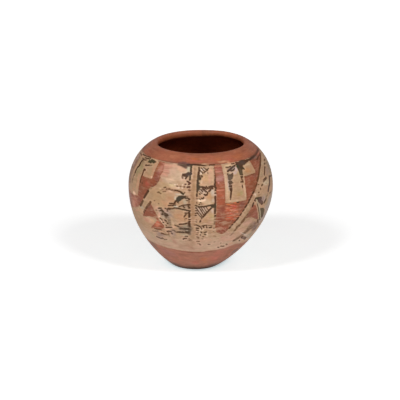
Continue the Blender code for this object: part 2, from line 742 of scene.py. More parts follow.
@dataclass
class Effects:
    """Effects that more than one finish uses, each built once as a group."""

    mottle: Tree = field(init=False)
    scuffs: Tree = field(init=False)
    grain: Tree = field(init=False)
    tone: Tree = field(init=False)
    ink: Tree = field(init=False)

    def __post_init__(self) -> None:
        """Build the groups."""
        self.mottle = self._mottle()
        self.scuffs = self._scuffs()
        self.grain = self._grain()
        self.tone = self._tone()
        self.ink = self._ink()

    def _mottle(self) -> Tree:
        """Make uneven colour from the fire.

        Returns:
            A group of broad clouds, small blotches and specks.
        """
        tree, sheet, given, result = new_group(
            "fire_mottle",
            (("Places", "Vector", None), ("Cloud Size", "Float", 25.0),
             ("Blotch Size", "Float", 4.0), ("Speck Size", "Float", 0.45)),
            (("Clouds", "Float"), ("Blotches", "Float"), ("Specks", "Float")))
        for size, label, low, high in (("Cloud Size", "Clouds", 0.36, 0.64),
                                       ("Blotch Size", "Blotches", 0.36, 0.64),
                                       ("Speck Size", "Specks", 0.60, 0.74)):
            noise = sheet.noise(given.outputs["Places"],
                                sheet.math("DIVIDE", 1.0, given.outputs[size]), roughness=0.5)
            sheet.feed(result.inputs[label], sheet.step(noise, low, high))
        return tree

    def _scuffs(self) -> Tree:
        """Make scuffs that run round the jar, as worn by a cloth or a shelf.

        Returns:
            A group of the scuffs and the streaks that they follow.
        """
        tree, sheet, given, result = new_group(
            "level_scuffs",
            (("Places", "Vector", None), ("Slant", "Float", 0.0), ("Length", "Float", 10.0),
             ("Pitch", "Float", 1.6), ("Cover", "Float", 0.5)),
            (("Scuffs", "Float"), ("Streaks", "Float")))
        split = sheet.node("ShaderNodeSeparateXYZ")
        sheet.feed(split.inputs[0], given.outputs["Places"])
        joined = sheet.node("ShaderNodeCombineXYZ")
        for axis in (0, 1):
            sheet.feed(joined.inputs[axis],
                       sheet.math("DIVIDE", split.outputs[axis], given.outputs["Length"]))
        sheet.feed(joined.inputs[2],
                   sheet.math("DIVIDE", given.outputs["Slant"], given.outputs["Pitch"]))
        streaks = sheet.noise(joined.outputs[0], 1.0, detail=4.0, roughness=0.6)
        sheet.feed(result.inputs["Streaks"], streaks)
        edge = sheet.minus(0.78, sheet.times(given.outputs["Cover"], 0.5))
        sheet.feed(result.inputs["Scuffs"], sheet.step(sheet.minus(streaks, edge), -0.03, 0.05))
        return tree

    def _grain(self) -> Tree:
        """Make fine clay grain, pits and the marks of the polishing stone.

        Returns:
            A group of their height.
        """
        tree, sheet, given, result = new_group(
            "clay_grain",
            (("Places", "Vector", None), ("Slant", "Float", 0.0), ("Grain Size", "Float", 0.5),
             ("Stone Marks", "Float", 0.5)),
            (("Height", "Float"),))
        places = given.outputs["Places"]
        fine = sheet.noise(places, sheet.math("DIVIDE", 1.0, given.outputs["Grain Size"]),
                           detail=4.0, roughness=0.5)
        pits = sheet.node("ShaderNodeTexVoronoi", feature="F1")
        sheet.feed(pits.inputs["Vector"], places)
        pits.inputs["Scale"].default_value = 0.35
        pit = sheet.step(pits.outputs["Distance"], 0.16, 0.05)
        marks = sheet.group(self.scuffs, places=places, slant=given.outputs["Slant"],
                            length=16.0, pitch=2.6, cover=0.5).outputs["Streaks"]
        height = sheet.plus(sheet.times(fine, 0.35),
                            sheet.times(marks, given.outputs["Stone Marks"]))
        sheet.feed(result.inputs["Height"], sheet.minus(height, sheet.times(pit, 0.25)))
        return tree

    def _tone(self) -> Tree:
        """Make a slip's colour as the fire and the polishing stone leave it.

        Returns:
            A group of that colour.
        """
        tree, sheet, given, result = new_group(
            "slip_tone",
            (("Tint", "Color", (0.5, 0.5, 0.5, 1.0)), ("Places", "Vector", None),
             ("Slant", "Float", 0.0), ("Depth", "Float", 1.0)),
            (("Colour", "Color"),))
        places, slant, depth = (given.outputs[name] for name in ("Places", "Slant", "Depth"))
        mottle = sheet.group(self.mottle, places=places, cloud_size=18.0, blotch_size=4.0)
        broad = sheet.group(self.scuffs, places=places, slant=slant, length=16.0,
                            pitch=4.6).outputs["Streaks"]
        fine = sheet.group(self.scuffs, places=places, slant=slant, length=6.0,
                           pitch=1.1).outputs["Streaks"]
        hue = sheet.noise(places, 0.11, detail=2.0)
        colour = given.outputs["Tint"]
        for share, amount, tone in (
                (mottle.outputs["Clouds"], 0.5, (1.12, 1.09, 1.06)),
                (mottle.outputs["Blotches"], 0.5, (0.84, 0.80, 0.77)),
                (sheet.step(broad, 0.50, 0.64), 0.7, (1.14, 1.12, 1.10)),
                (sheet.step(broad, 0.48, 0.36), 0.7, (0.88, 0.84, 0.80)),
                (sheet.step(fine, 0.50, 0.66), 0.7, (1.16, 1.17, 1.19)),
                (sheet.step(fine, 0.46, 0.32), 0.6, (0.86, 0.83, 0.80)),
                (sheet.step(hue, 0.50, 0.62), 0.6, (1.05, 0.96, 0.99)),
                (sheet.step(hue, 0.48, 0.38), 0.6, (0.97, 1.00, 0.94)),
                (mottle.outputs["Specks"], 0.5, (0.62, 0.57, 0.54))):
            colour = sheet.mix(sheet.times(share, amount, depth), colour, tone, "MULTIPLY")
        sheet.feed(result.inputs["Colour"], colour)
        return tree

    def _ink(self) -> Tree:
        """Make black paint over slip, thin where the brush ran dry.

        Returns:
            A group of where it covers the slip and its colour.
        """
        tree, sheet, given, result = new_group(
            "brush_ink",
            (("Places", "Vector", None), ("Edge", "Float", 6.0), ("Load", "Float", 0.0),
             ("Worn", "Float", 0.0), ("Tint", "Color", (0.07, 0.045, 0.03, 1.0))),
            (("Cover", "Float"), ("Tone", "Color")))
        places, load, tint = (given.outputs[name] for name in ("Places", "Load", "Tint"))
        wobble = sheet.plus(sheet.noise(places, 0.8, detail=2.0),
                            sheet.times(sheet.noise(places, 2.4, detail=2.0), 0.6))
        edge = sheet.plus(given.outputs["Edge"], sheet.minus(wobble, 0.8))
        mask = sheet.step(edge, 0.35, -0.35)
        breaks = sheet.step(sheet.noise(places, 1.1, detail=4.0, roughness=0.65), 0.32, 0.68)
        left = sheet.minus(sheet.times(load, 1.1), sheet.times(breaks, 0.30))
        left = sheet.minus(left, sheet.times(given.outputs["Worn"], 0.6))
        cover = sheet.times(mask, 0.97, sheet.step(left, 0.0, 0.52))
        bleed = sheet.times(load, 0.20, sheet.step(edge, 0.9, 0.1))
        sheet.feed(result.inputs["Cover"], sheet.math("MAXIMUM", cover, bleed))
        patches = sheet.times(sheet.noise(places, 0.35, detail=2.0), 0.5)
        dark = sheet.step(sheet.plus(load, patches), 0.50, 1.05)
        faded = sheet.brighter(tint, 1.8)
        sheet.feed(result.inputs["Tone"], sheet.mix(dark, faded, tint))
        return tree


@dataclass
class Surface:
    """A material that is being made, with the places in mm that its effects are read at."""

    name: str
    effects: Effects
    shown: Colour
    specular: float
    made: Material = field(init=False)
    sheet: Sheet = field(init=False)
    shader: Node = field(init=False)
    places: Socket = field(init=False)

    def __post_init__(self) -> None:
        """Start from a plain Principled shader."""
        self.made, self.sheet, self.shader = blank_material(self.name, self.shown)
        self.shader.inputs["Specular IOR Level"].default_value = self.specular
        self.places = self.sheet.millimetres()

    def slip(self, layer: Layer, slant: Socket, depth: float) -> Socket:
        """Return the colour of a slip from its tint on the mesh, uneven by a depth."""
        return self.sheet.group(self.effects.tone, tint=self.sheet.tint(layer),
                                places=self.places, slant=slant, depth=depth).outputs["Colour"]

    def black(self, base: Socket, worn: object) -> tuple[Socket, Socket]:
        """Lay the black paint over a colour.

        Args:
            base: Colour under it.
            worn: How far it is worn, 0 to 1.

        Returns:
            The colour with the paint, and where the paint covers it.
        """
        sheet = self.sheet
        ink = sheet.group(self.effects.ink, places=self.places,
                          edge=sheet.value(Kept.BLACK_EDGE), load=sheet.value(Kept.BLACK_LOAD),
                          worn=worn, tint=sheet.tint(Layer.INK))
        cover = ink.outputs["Cover"]
        return sheet.mix(cover, base, ink.outputs["Tone"]), cover

    def grain(self, slant: Socket, size: float, marks: float) -> Socket:
        """Return the height of the clay's grain, its size in mm and the stone's marks."""
        return self.sheet.group(self.effects.grain, places=self.places, slant=slant,
                                grain_size=size, stone_marks=marks).outputs["Height"]

    def finish(self, colour: Socket, roughness: Socket, height: Socket, strength: float,
               distance: float) -> Material:
        """Feed the shader.

        Args:
            colour: Base colour.
            roughness: Roughness.
            height: Height, where 1 stands the distance proud.
            strength: Share of the bump that shows.
            distance: Height of a full step in metres.

        Returns:
            The finished material.
        """
        bump = self.sheet.node("ShaderNodeBump")
        bump.inputs["Strength"].default_value = strength
        bump.inputs["Distance"].default_value = distance
        for socket, value in ((self.shader.inputs["Base Color"], colour),
                              (self.shader.inputs["Roughness"], roughness),
                              (bump.inputs["Height"], height),
                              (self.shader.inputs["Normal"], bump.outputs[0])):
            self.sheet.feed(socket, value)
        return self.made


def blank_material(name: str, shown: Colour) -> tuple[Material, Sheet, Node]:
    """Make a plain material.

    Args:
        name: Name of the material.
        shown: Its colour in a plain view.

    Returns:
        The material, its sheet and its Principled shader.
    """
    made = bpy.data.materials.new(name)
    made.use_nodes = True
    made.diffuse_color = (*shown, 1.0)
    return made, Sheet(made.node_tree), made.node_tree.nodes["Principled BSDF"]


# ---- Finishes ----


@dataclass(frozen=True)
class ClayFinish:
    """Unslipped clay, smoked by the fire."""

    clay: Colour
    smoke: Colour
    smoked: float
    roughness: float
    blotch: float = 0.72
    speck: float = 1.5

    def material(self, name: str, effects: Effects) -> Material:
        """Make the material.

        Args:
            name: Name of the material.
            effects: Shared effects.

        Returns:
            The material of bare clay.
        """
        surface = Surface(name, effects, self.clay, specular=0.1)
        sheet, places = surface.sheet, surface.places
        height = sheet.node("ShaderNodeSeparateXYZ")
        sheet.feed(height.inputs[0], places)
        mottle = sheet.group(effects.mottle, places=places, cloud_size=22.0).outputs
        base = sheet.mix(sheet.times(mottle["Blotches"], 0.5), self.clay,
                         tuple(part * self.blotch for part in self.clay))
        base = sheet.mix(sheet.times(mottle["Specks"], 0.5), base,
                         tuple(part * self.speck for part in self.clay))
        smoke = sheet.spread(mottle["Clouds"], self.smoked * 0.75, self.smoked)
        rough = sheet.spread(mottle["Blotches"], self.roughness - 0.08, self.roughness + 0.08)
        grain = surface.grain(height.outputs[2], size=0.7, marks=0.9)
        return surface.finish(sheet.mix(smoke, base, self.smoke), rough, grain, strength=0.5,
                              distance=0.0004)


@dataclass(frozen=True)
class RedSlipFinish:
    """Stone-polished red slip, with any black paint that runs onto it."""

    red: Colour
    scuff: Colour
    roughness: float = 0.42
    scuff_cover: float = 0.24

    def material(self, name: str, effects: Effects) -> Material:
        """Make the material.

        Args:
            name: Name of the material.
            effects: Shared effects.

        Returns:
            The material of polished red slip.
        """
        surface = Surface(name, effects, self.red, specular=0.25)
        sheet, places = surface.sheet, surface.places
        slant = sheet.value(Kept.SLANT)
        marks = sheet.group(effects.scuffs, places=places, slant=slant, length=14.0, pitch=1.8,
                            cover=self.scuff_cover).outputs
        base = sheet.mix(sheet.times(marks["Scuffs"], 0.30),
                         surface.slip(Layer.RED, slant, depth=1.0), self.scuff)
        base, _ = surface.black(base, worn=0.0)
        rough = sheet.spread(sheet.step(marks["Streaks"], 0.42, 0.66), self.roughness + 0.08,
                             self.roughness - 0.06)
        grain = surface.grain(slant, size=0.6, marks=0.7)
        return surface.finish(base, rough, grain, strength=0.35, distance=0.0003)


@dataclass(frozen=True)
class PaintFinish:
    """Cream slip with the red and black paint on it."""

    cream: Colour = fired(184, 148, 117)
    chip: Colour = fired(216, 180, 152)
    rose: Colour = fired(196, 140, 112)
    speck: Colour = fired(122, 88, 64)
    clean: Colour = (1.14, 1.15, 1.17)
    roughness: float = 0.52

    def material(self, name: str, effects: Effects) -> Material:
        """Make the material.

        Args:
            name: Name of the material.
            effects: Shared effects.

        Returns:
            The material of the painted wall.
        """
        surface = Surface(name, effects, self.cream, specular=0.2)
        sheet, places = surface.sheet, surface.places
        slant, wear = sheet.value(Kept.SLANT), sheet.value(Kept.WEAR)
        marks = sheet.group(effects.scuffs, places=places, slant=slant, length=9.0, pitch=1.9,
                            cover=0.5).outputs
        worn = sheet.times(sheet.step(marks["Streaks"], 0.48, 0.62), wear)
        chips = sheet.times(marks["Scuffs"], wear)
        cream = surface.slip(Layer.GROUND, slant, depth=0.8)
        cream = sheet.mix(sheet.times(chips, 0.55), cream, self.chip)
        red = surface.slip(Layer.RED, slant, depth=0.75)
        red = sheet.mix(sheet.times(chips, 0.35), red, self.rose)
        wobble = sheet.math("MULTIPLY_ADD", sheet.noise(places, 0.55), 2.0, -1.0)
        edge = sheet.plus(sheet.value(Kept.RED_EDGE), wobble)
        redness = sheet.times(sheet.step(edge, 0.25, -0.25),
                              sheet.minus(1.0, sheet.times(worn, 0.7)))
        base = sheet.mix(redness, cream, red)
        clean = sheet.times(sheet.step(sheet.value(Kept.BLACK_EDGE), 2.3, 1.0),
                            sheet.value(Kept.BLACK_LOAD))
        base = sheet.mix(clean, base, self.clean, "MULTIPLY")
        flakes = sheet.group(effects.scuffs, places=places, slant=slant, length=2.2,
                             pitch=1.1).outputs["Streaks"]
        for share, amount, tone in ((sheet.step(flakes, 0.58, 0.68), 0.7, self.chip),
                                    (sheet.step(flakes, 0.38, 0.30), 0.6, self.speck)):
            base = sheet.mix(sheet.times(share, amount, wear), base, tone)
        base, cover = surface.black(base, worn)
        rough = sheet.math("MULTIPLY_ADD", redness, -0.07, self.roughness + 0.06)
        rough = sheet.math("MULTIPLY_ADD", cover, 0.08, rough)
        rough = sheet.math("MULTIPLY_ADD", marks["Streaks"], -0.12, rough)
        height = surface.grain(slant, size=0.6, marks=0.6)
        height = sheet.math("MULTIPLY_ADD", redness, 0.10, height)
        height = sheet.math("MULTIPLY_ADD", cover, 0.12, height)
        return surface.finish(base, rough, height, strength=0.35, distance=0.0003)


# ---- The brushwork ----


@dataclass(frozen=True)
class Stroke:
    """One pass of the brush: its load (1 is full black), width in mm and corner points."""

    load: float
    width: float
    path: tuple[Pair, ...]


@dataclass(frozen=True)
class Field:
    """A filled shape in one ink, with its load and its corner points."""

    ink: Ink
    load: float
    outline: tuple[Pair, ...]


@dataclass(frozen=True)
class Wash:
    """A soft change of colour in an oval about one place.

    The reach is half the oval's width in degrees and half its height in mm.
    """

    layer: Layer
    colour: Colour
    place: Pair
    reach: Pair
    strength: float


@dataclass(frozen=True)
class Smear:
    """A soft change of colour along a line, with its width in mm."""

    layer: Layer
    colour: Colour
    strength: float
    width: float
    path: tuple[Pair, ...]


def pairs(numbers: Row) -> tuple[Pair, ...]:
    """Return places from a flat row of turns and slants."""
    return tuple(zip(numbers[::2], numbers[1::2]))


def strokes(*rows: Row) -> list[Stroke]:
    """Return strokes from rows of load, width, and the turn and slant of every corner."""
    return [Stroke(row[0], row[1], pairs(row[2:])) for row in rows]


def dabs(load: float, size: float, *places: float) -> list[Stroke]:
    """Return short level dabs of the brush at several places."""
    return [Stroke(load, size, ((turn - DAB_REACH, slant), (turn + DAB_REACH, slant)))
            for turn, slant in pairs(places)]


def washes(layer: Layer, *groups: Sequence[Row]) -> list[Wash]:
    """Return washes.

    Args:
        layer: What they tint.
        *groups: Each a colour as fired takes it, then rows of turn, slant, half width, half
            height and strength.

    Returns:
        The washes in the order of the rows.
    """
    return [Wash(layer, fired(*colour), row[:2], row[2:4], row[4])
            for colour, *rows in groups for row in rows]


def smears(layer: Layer, *groups: Sequence[Row]) -> list[Smear]:
    """Return smears.

    Args:
        layer: What they tint.
        *groups: Each a colour as fired takes it, then rows of strength, width, and the turn
            and slant of every corner.

    Returns:
        The smears in the order of the rows.
    """
    return [Smear(layer, fired(*colour), row[0], row[1], pairs(row[2:]))
            for colour, *rows in groups for row in rows]


class Brushwork:
    """All that is painted on the jar, as a pattern that comes round twice."""

    def frame_lines(self) -> list[Stroke]:
        """Return the line under the rim and the three upright lines of the front panel.

        Returns:
            Strokes from the left line to the right one.
        """
        return (
            strokes(
                (0.95, 1.9, -13, 146, -9.5, 146.2, -6, 146.6, -3, 146.3, 0, 146),
                (0.8, 1.6, 0, 145.9, 2.5, 145.5, 4.3, 145.4), (0.35, 1.1, 4.3, 145.5, 8, 145.7),
                (0.95, 1.6, 8.6, 145.9, 13, 145.9), (0.38, 1.1, 13, 145.9, 19, 145.9, 26, 145.7),
                (0.97, 2.1, -8.9, 145.4, -9, 142, -8.6, 138.5, -8.7, 137),
                (0.95, 3.5, -11, 136.3, -8.9, 136.2), (0.95, 2, -9.1, 134.6, -9, 130),
                (0.85, 1.7, -11.2, 128.3, -9.6, 127.4, -8.4, 126.5),
                (0.9, 1.9, -10.6, 122.3, -8.8, 122.8), (0.6, 1.6, -9.6, 119.5, -8.2, 119.2),
                (0.3, 1.2, -9, 121, -9, 117), (0.5, 1.1, -9.4, 110.2, -9, 107),
                (0.95, 1.9, -10, 104.7, -8.4, 104.6), (0.6, 1.6, -9.8, 103, -8.6, 101.8),
                (0.9, 1.3, -9.6, 100.9, -8.2, 101),
                (0.95, 2.4, -8.9, 96.2, -8.7, 93.5, -8.8, 91.2),
                (0.95, 1.5, -9.2, 88.5, -7.9, 88.4), (0.95, 1.6, -9, 86.3, -8.1, 86),
                (0.6, 2.2, -8.9, 84.4, -8.6, 82, -8.4, 80), (0.95, 1.9, -1.6, 143.2, -1.5, 138.4),
                (0.75, 2.2, -1.8, 138, -2, 134.5), (0.9, 2.2, -2.2, 134, -2.2, 130.4),
                (0.9, 1.5, -1.6, 131, -0.9, 130.6), (0.97, 2.5, -2.5, 129.5, -2.5, 119.5),
                (0.6, 1.6, -0.9, 134.5, -0.9, 130.5), (0.8, 1.4, -1.4, 127.2, -1.2, 126.2),
                (0.75, 1.7, -1.3, 124, -1.2, 120.8), (0.98, 1.9, -2.9, 119.4, -2.8, 117.8),
                (0.95, 2, -3, 115.8, -3, 113.8), (0.5, 1.7, -3.2, 111.4, -2.2, 110.8),
                (0.45, 1.5, -3, 108, -3, 106.2), (0.42, 1.5, 12.2, 144.5, 12.2, 138),
                (0.52, 1.7, 12.2, 137, 12.1, 131.5), (0.62, 1.9, 11.9, 131, 11.7, 126.4),
                (0.95, 2.2, 11.2, 125.4, 11.4, 122.8, 12, 121.2),
                (0.95, 2, 11.2, 113, 11.2, 108.6), (0.9, 1.6, 11.2, 107.4, 11.2, 106.4),
                (0.97, 2.6, 11, 105.2, 10.9, 102), (0.95, 2.3, 11, 101.5, 11, 95.4),
                (0.44, 1.9, 11.2, 92, 11.3, 83))
            + dabs(0.92, 1.6, -9.6, 125.3, 11.5, 119.2, 11.4, 116.4, 11.4, 92.7, -3.7, 93.3)
            + dabs(0.85, 1.4, -12.3, 125.3, -13.2, 122.4, -3.6, 101.3, -3.6, 98.6, -3.6, 95.6)
            + dabs(0.55, 1.3, -16.3, 122.8, -19, 122.6, -3.3, 86.7, -4.2, 82, 11.6, 77.8, 11.8,
                   73.8))

    def hatched_steps(self) -> list[Stroke]:
        """Return the hatched triangles between the second and third upright lines.

        Returns:
            Strokes of the upper triangles, with the hatching inside them.
        """
        top = strokes(
            (0.8, 1.2, 0.2, 143.1, 1.2, 141.7, 2.4, 140.1, 3.4, 139.1),
            (0.85, 1.3, -1.4, 140.7, 0.5, 138.8, 1.5, 137.1),
            (0.72, 1.3, 2.8, 143.1, 4.3, 141.6, 5.9, 140.6, 7, 142.5),
            (0.55, 1.3, 1.6, 137, 3.2, 137.6, 4.3, 139.1, 6, 140.2),
            (0.5, 1, 5.8, 137.5, 6.2, 137), (0.9, 1.7, 0.7, 134.4, 1.3, 133.4),
            (0.95, 1.9, -0.2, 132.2, -0.4, 130.8))
        middle = strokes(
            (0.95, 1.9, -0.6, 122.8, 1.4, 123, 3, 122.5, 3.8, 121.6),
            (0.98, 1.6, 4.2, 123.4, 5.6, 121.5), (0.93, 1.8, 6.6, 122.9, 8.4, 123.4, 10.2, 123.3),
            (0.6, 2.4, 6.9, 121.4, 9.2, 121.6), (0.85, 1.2, 9.2, 122.2, 9, 120.6),
            (0.92, 1.9, 7.6, 119.8, 6.4, 118.5), (0.7, 1.3, 5.6, 116.8, 4.9, 115.6),
            (0.97, 1.7, 3, 115.4, 3.5, 114.6, 4.9, 115),
            (0.95, 1.4, 1.2, 122.3, 3.2, 119.8, 5.2, 117.3), (0.7, 1.2, 3.6, 121.6, 4.8, 120.4),
            (0.92, 1.4, 0, 120.2, 1.6, 118), (0.4, 0.9, -0.8, 118.4, 1.2, 116.2, 2.4, 114.9),
            (0.8, 1.3, -1.1, 116.4, -0.5, 115.3), (0.75, 1.3, -1, 111, -0.2, 110.1),
            (0.96, 1.6, 0.9, 111.4, 2, 111.3, 2.2, 112.4), (0.35, 0.9, -1.2, 113.4, 0.4, 112))
        low = strokes(
            (0.92, 1.8, -0.5, 102.8, 2, 102.9, 4, 103.1),
            (0.98, 1.9, 4, 103.2, 6.4, 103.9, 9.6, 104.3), (0.92, 3.2, 8.8, 102.9, 9.9, 102.6),
            (0.98, 1.9, 8, 101, 6.2, 98.8, 5.2, 97),
            (0.93, 1.8, 5.2, 97, 4, 95, 3.2, 93.6, 2, 91.6), (0.55, 1.2, 1.6, 90.8, 0.8, 89.4),
            (0.92, 1.8, 0.1, 87.2, -0.3, 85.8), (0.62, 1.7, -4.2, 104, -2.4, 103.4, -1, 102.4),
            (0.93, 1.15, 0.1, 102.5, 1.8, 98.8, 3.5, 95.4),
            (0.93, 1.15, 2, 102.6, 3.4, 99.4, 4.5, 97.2),
            (0.8, 1.1, 3.9, 102.6, 5.2, 100.2, 6, 99.2),
            (0.95, 1.2, -1.9, 102.6, 0.2, 98.8, 2.6, 93.4),
            (0.9, 1.2, -3.8, 102, -2, 98.6, 1.4, 92.2), (0.8, 1.1, -3, 97, -1.2, 93.6, 0.8, 90.6),
            (0.82, 1, 1.2, 121, 3.6, 117.6), (0.75, 1, -1.2, 119, 0.6, 116.6),
            (0.8, 1, 0.8, 142.8, 2.8, 140))
        return (
            top
            + middle
            + low
            + dabs(0.78, 1.3, -0.1, 107.2, -1, 105.3)
            + dabs(0.4, 1.5, 1.1, 105.4)
            + strokes(
                (0.6, 1.6, -3.2, 88, -3.2, 85.8)))

    def worn_steps(self) -> list[Stroke]:
        """Return what the wear has left of the lowest hatched triangle.

        Returns:
            Strokes of the lowest triangle, thin and broken.
        """
        return (
            strokes(
                (0.92, 1.7, -3, 82.2, -1.6, 81.4, -0.2, 80.5),
                (0.88, 1.4, 1.4, 81.1, 3.4, 81.5, 5, 81.8), (0.95, 1.9, 2.4, 81, 3, 79.2),
                (0.62, 1.1, 5.6, 81.2, 7.6, 81.4, 9.4, 80.8), (0.98, 1.9, -2.9, 78.3, -1.3, 78.1),
                (0.92, 1.7, 7.4, 78.9, 9.2, 78.9), (0.85, 1.4, 0.6, 79.4, 1.5, 77.2),
                (0.88, 1.6, 5.2, 79.6, 5.6, 78.8), (0.88, 1.5, -2.8, 75.8, -1.4, 75.3),
                (0.95, 1.6, 3.8, 72.6, 5.4, 73.4), (0.92, 1.5, 4.1, 70.3, 5.2, 69.8),
                (0.8, 1.5, 0.8, 73.6, 1.6, 72.4), (0.6, 1.2, 0.5, 70.2, 0.9, 68.6),
                (0.55, 1.4, 2.8, 67.4, 3.8, 67), (0.5, 2.2, -2, 67, -0.8, 65.6),
                (0.4, 1.4, 2.4, 64.6, 3.2, 63.4), (0.55, 1.8, -1.8, 60.6, 0, 60.4),
                (0.5, 1.3, -1, 57.2, 0.6, 56.8), (0.6, 1.4, 0.8, 56.4, 1.8, 54.4),
                (0.52, 1.3, 8.9, 55.6, 10.4, 55.2), (0.32, 1.6, 14.6, 63.8, 17, 63.2),
                (0.38, 2, 12.4, 67.6, 14, 66.6), (0.35, 1.4, 5.8, 66.4, 6.6, 65.6))
            + dabs(0.42, 1.4, -1.7, 72.5, 20.9, 56, 14.2, 58.8, -2.3, 70.2, -0.4, 63.6))

    def left_figure(self) -> list[Stroke]:
        """Return the small strokes left of the first upright line.

        Returns:
            Strokes of the figure, from its top down.
        """
        upper = strokes(
            (0.6, 1.9, -15.4, 134.8, -15.8, 132.8, -15.3, 131.4),
            (0.78, 1.6, -15.6, 135.2, -13.6, 135.6, -12, 136.2),
            (0.85, 1.7, -14.6, 133.9, -13.6, 133.2), (0.6, 3, -15, 134.4, -12.6, 134.2),
            (0.9, 1.8, -11.6, 134.2, -12, 132.6, -12.7, 131), (0.75, 1.2, -13, 135, -12.6, 134),
            (0.5, 1.1, -10.4, 134.4, -10.8, 133), (0.65, 1.4, -30.4, 119.4, -28.6, 120),
            (0.56, 1.7, -28, 118.2, -25.6, 118.9, -23.4, 118, -20.4, 118.1),
            (0.93, 1.6, -20.2, 118.3, -17.4, 117.8, -15.8, 117.2),
            (0.97, 2.1, -15.6, 117, -14.7, 115.8, -13.6, 115.1),
            (0.82, 1.2, -13.3, 115.6, -12.5, 117), (0.62, 1.2, -31.2, 115.2, -28.2, 116),
            (0.35, 1.1, -33, 116.4, -31, 117.4),
            (0.48, 1.5, -36, 113.4, -34.2, 113.8, -32.6, 112.8),
            (0.35, 1, -26.2, 124.8, -24, 124.6), (0.95, 1.5, -19.8, 107.2, -17.6, 109.6),
            (0.9, 1.2, -18.2, 106.2, -16.2, 108.4),
            (0.96, 1.7, -12, 111.2, -10, 111.3, -8.6, 110.4),
            (0.6, 1.2, -11.2, 109.2, -10.4, 108.8), (0.5, 1.2, -12, 113.4, -9.8, 113))
        middle = strokes(
            (0.95, 1.9, -18.6, 108, -20.4, 105.8),
            (0.92, 1.6, -20, 104.6, -22, 104.4, -24.6, 104.2),
            (0.82, 1.4, -19.6, 103, -22.6, 102.4, -25.6, 101.7),
            (0.55, 1.2, -18, 106.6, -17.2, 105.6),
            (0.8, 1.4, -16.8, 101.8, -15, 102.9, -13, 103.8, -11, 104.3),
            (0.6, 1.7, -13.4, 102.4, -12.6, 101.4), (0.6, 1.3, -26, 98.4, -24.2, 97.6),
            (0.6, 1.4, -25.4, 99, -22.5, 98.8, -20.6, 99.9),
            (0.92, 1.7, -20.8, 99.9, -18, 100, -15.4, 99.4, -12.4, 98.9),
            (0.98, 1.9, -12.4, 98.9, -10.4, 98.4, -8.2, 98),
            (0.92, 1.6, -12, 95.3, -10, 95.6, -8.8, 95.4),
            (0.88, 1.6, -11.4, 94, -12.2, 92.2, -12.8, 91), (0.65, 1.1, -11.5, 89.4, -10.8, 89.2),
            (0.4, 1, -12.3, 88.6, -12, 86.6),
            (0.97, 1.8, -16.8, 81.8, -14.4, 82.4, -12.6, 82.9, -10.8, 83.8),
            (0.65, 1.4, -20.8, 80.4, -20, 80), (0.62, 1.7, -19, 79.6, -17.6, 79.2))
        low = strokes(
            (0.6, 2.6, -16, 76.8, -13, 76.6, -10.6, 76.9, -8.6, 76.9),
            (0.95, 1.7, -12.2, 76.8, -9.8, 76.9),
            (0.58, 2.2, -19.4, 71.7, -16.8, 72.3, -13.8, 72.2), (0.9, 1.5, -16.8, 72, -16, 72),
            (0.85, 1.5, -14.2, 72.8, -13.6, 72.2), (0.6, 3.4, -11.6, 72.8, -9, 72.4),
            (0.92, 1.7, -11.2, 73, -9.8, 73), (0.8, 1.8, -12.2, 67, -10.4, 67),
            (0.88, 1.7, -14.2, 62.8, -13.2, 63.9, -11.4, 64.2), (0.45, 2, -9.6, 61.4, -7, 61.6),
            (0.35, 1.6, -9, 64, -8, 63),
            (0.97, 1.7, -29, 75.8, -27.6, 76.2, -25.6, 76.8, -23.6, 77.2),
            (0.88, 1.8, -28.6, 70.8, -26.6, 71.6, -24.8, 71.6), (0.7, 1.6, -24.5, 69.6, -24, 68.8),
            (0.6, 1.6, -23.2, 73.4, -21.6, 73.2, -20.6, 71.8),
            (0.45, 2.2, -27.8, 66.6, -26.8, 66.2), (0.35, 1.6, -27.4, 69.6, -27.2, 67.4),
            (0.55, 1.7, -34.6, 67, -33, 66.6), (0.35, 1.5, -33, 66.4, -30.8, 65.8),
            (0.45, 1.7, -45.4, 66.8, -42, 67.6, -38.6, 68.6),
            (0.55, 1.3, -41.6, 71, -38.6, 70.8, -34.2, 71.2), (0.35, 1.4, -44.6, 72.8, -42, 73.8),
            (0.55, 2.4, -42, 59.8, -39.6, 59.4, -37.6, 58.8, -35, 59.8),
            (0.45, 1.6, -33.6, 58.2, -31, 59.2))
        return (
            upper
            + middle
            + low)

    def dark_clumps(self) -> list[Stroke]:
        """Return the mottled dark clumps beside the small red triangle.

        Returns:
            Short strokes and dabs that overlap into clumps.
        """
        return (
            strokes(
                (0.88, 1.5, -34.8, 96.8, -33, 97.2, -31.8, 97.8),
                (0.96, 2.8, -31, 94.8, -30, 93.6), (0.8, 1.9, -32.6, 95, -31.4, 95.8),
                (0.95, 2.1, -29.2, 93, -28.4, 92.4), (0.92, 1.9, -32.2, 90.8, -30.6, 90.8),
                (0.95, 2.3, -29, 90.6, -27.4, 90), (0.92, 1.9, -27.2, 92, -26.4, 90.8),
                (0.7, 1.5, -31.4, 92.6, -31, 92), (0.6, 1.7, -28.8, 88.2, -28, 87.6),
                (0.85, 1.7, -33.6, 86, -32.4, 84.8, -31.8, 84),
                (0.92, 1.7, -31.4, 81.8, -30.8, 81.4), (0.85, 1.8, -29.2, 84.6, -28.2, 83.8),
                (0.96, 1.7, -27.4, 81.4, -26.8, 81), (0.55, 1.4, -28.9, 78.8, -28.3, 78.2))
            + dabs(0.78, 1.5, -28.2, 98, -26.6, 97.4, -26.5, 95.6, -24.6, 98)
            + dabs(0.5, 1.4, -33.8, 94, -36.8, 94.4, -35.4, 91.2, -34.4, 101.8, -38.4, 104.2))

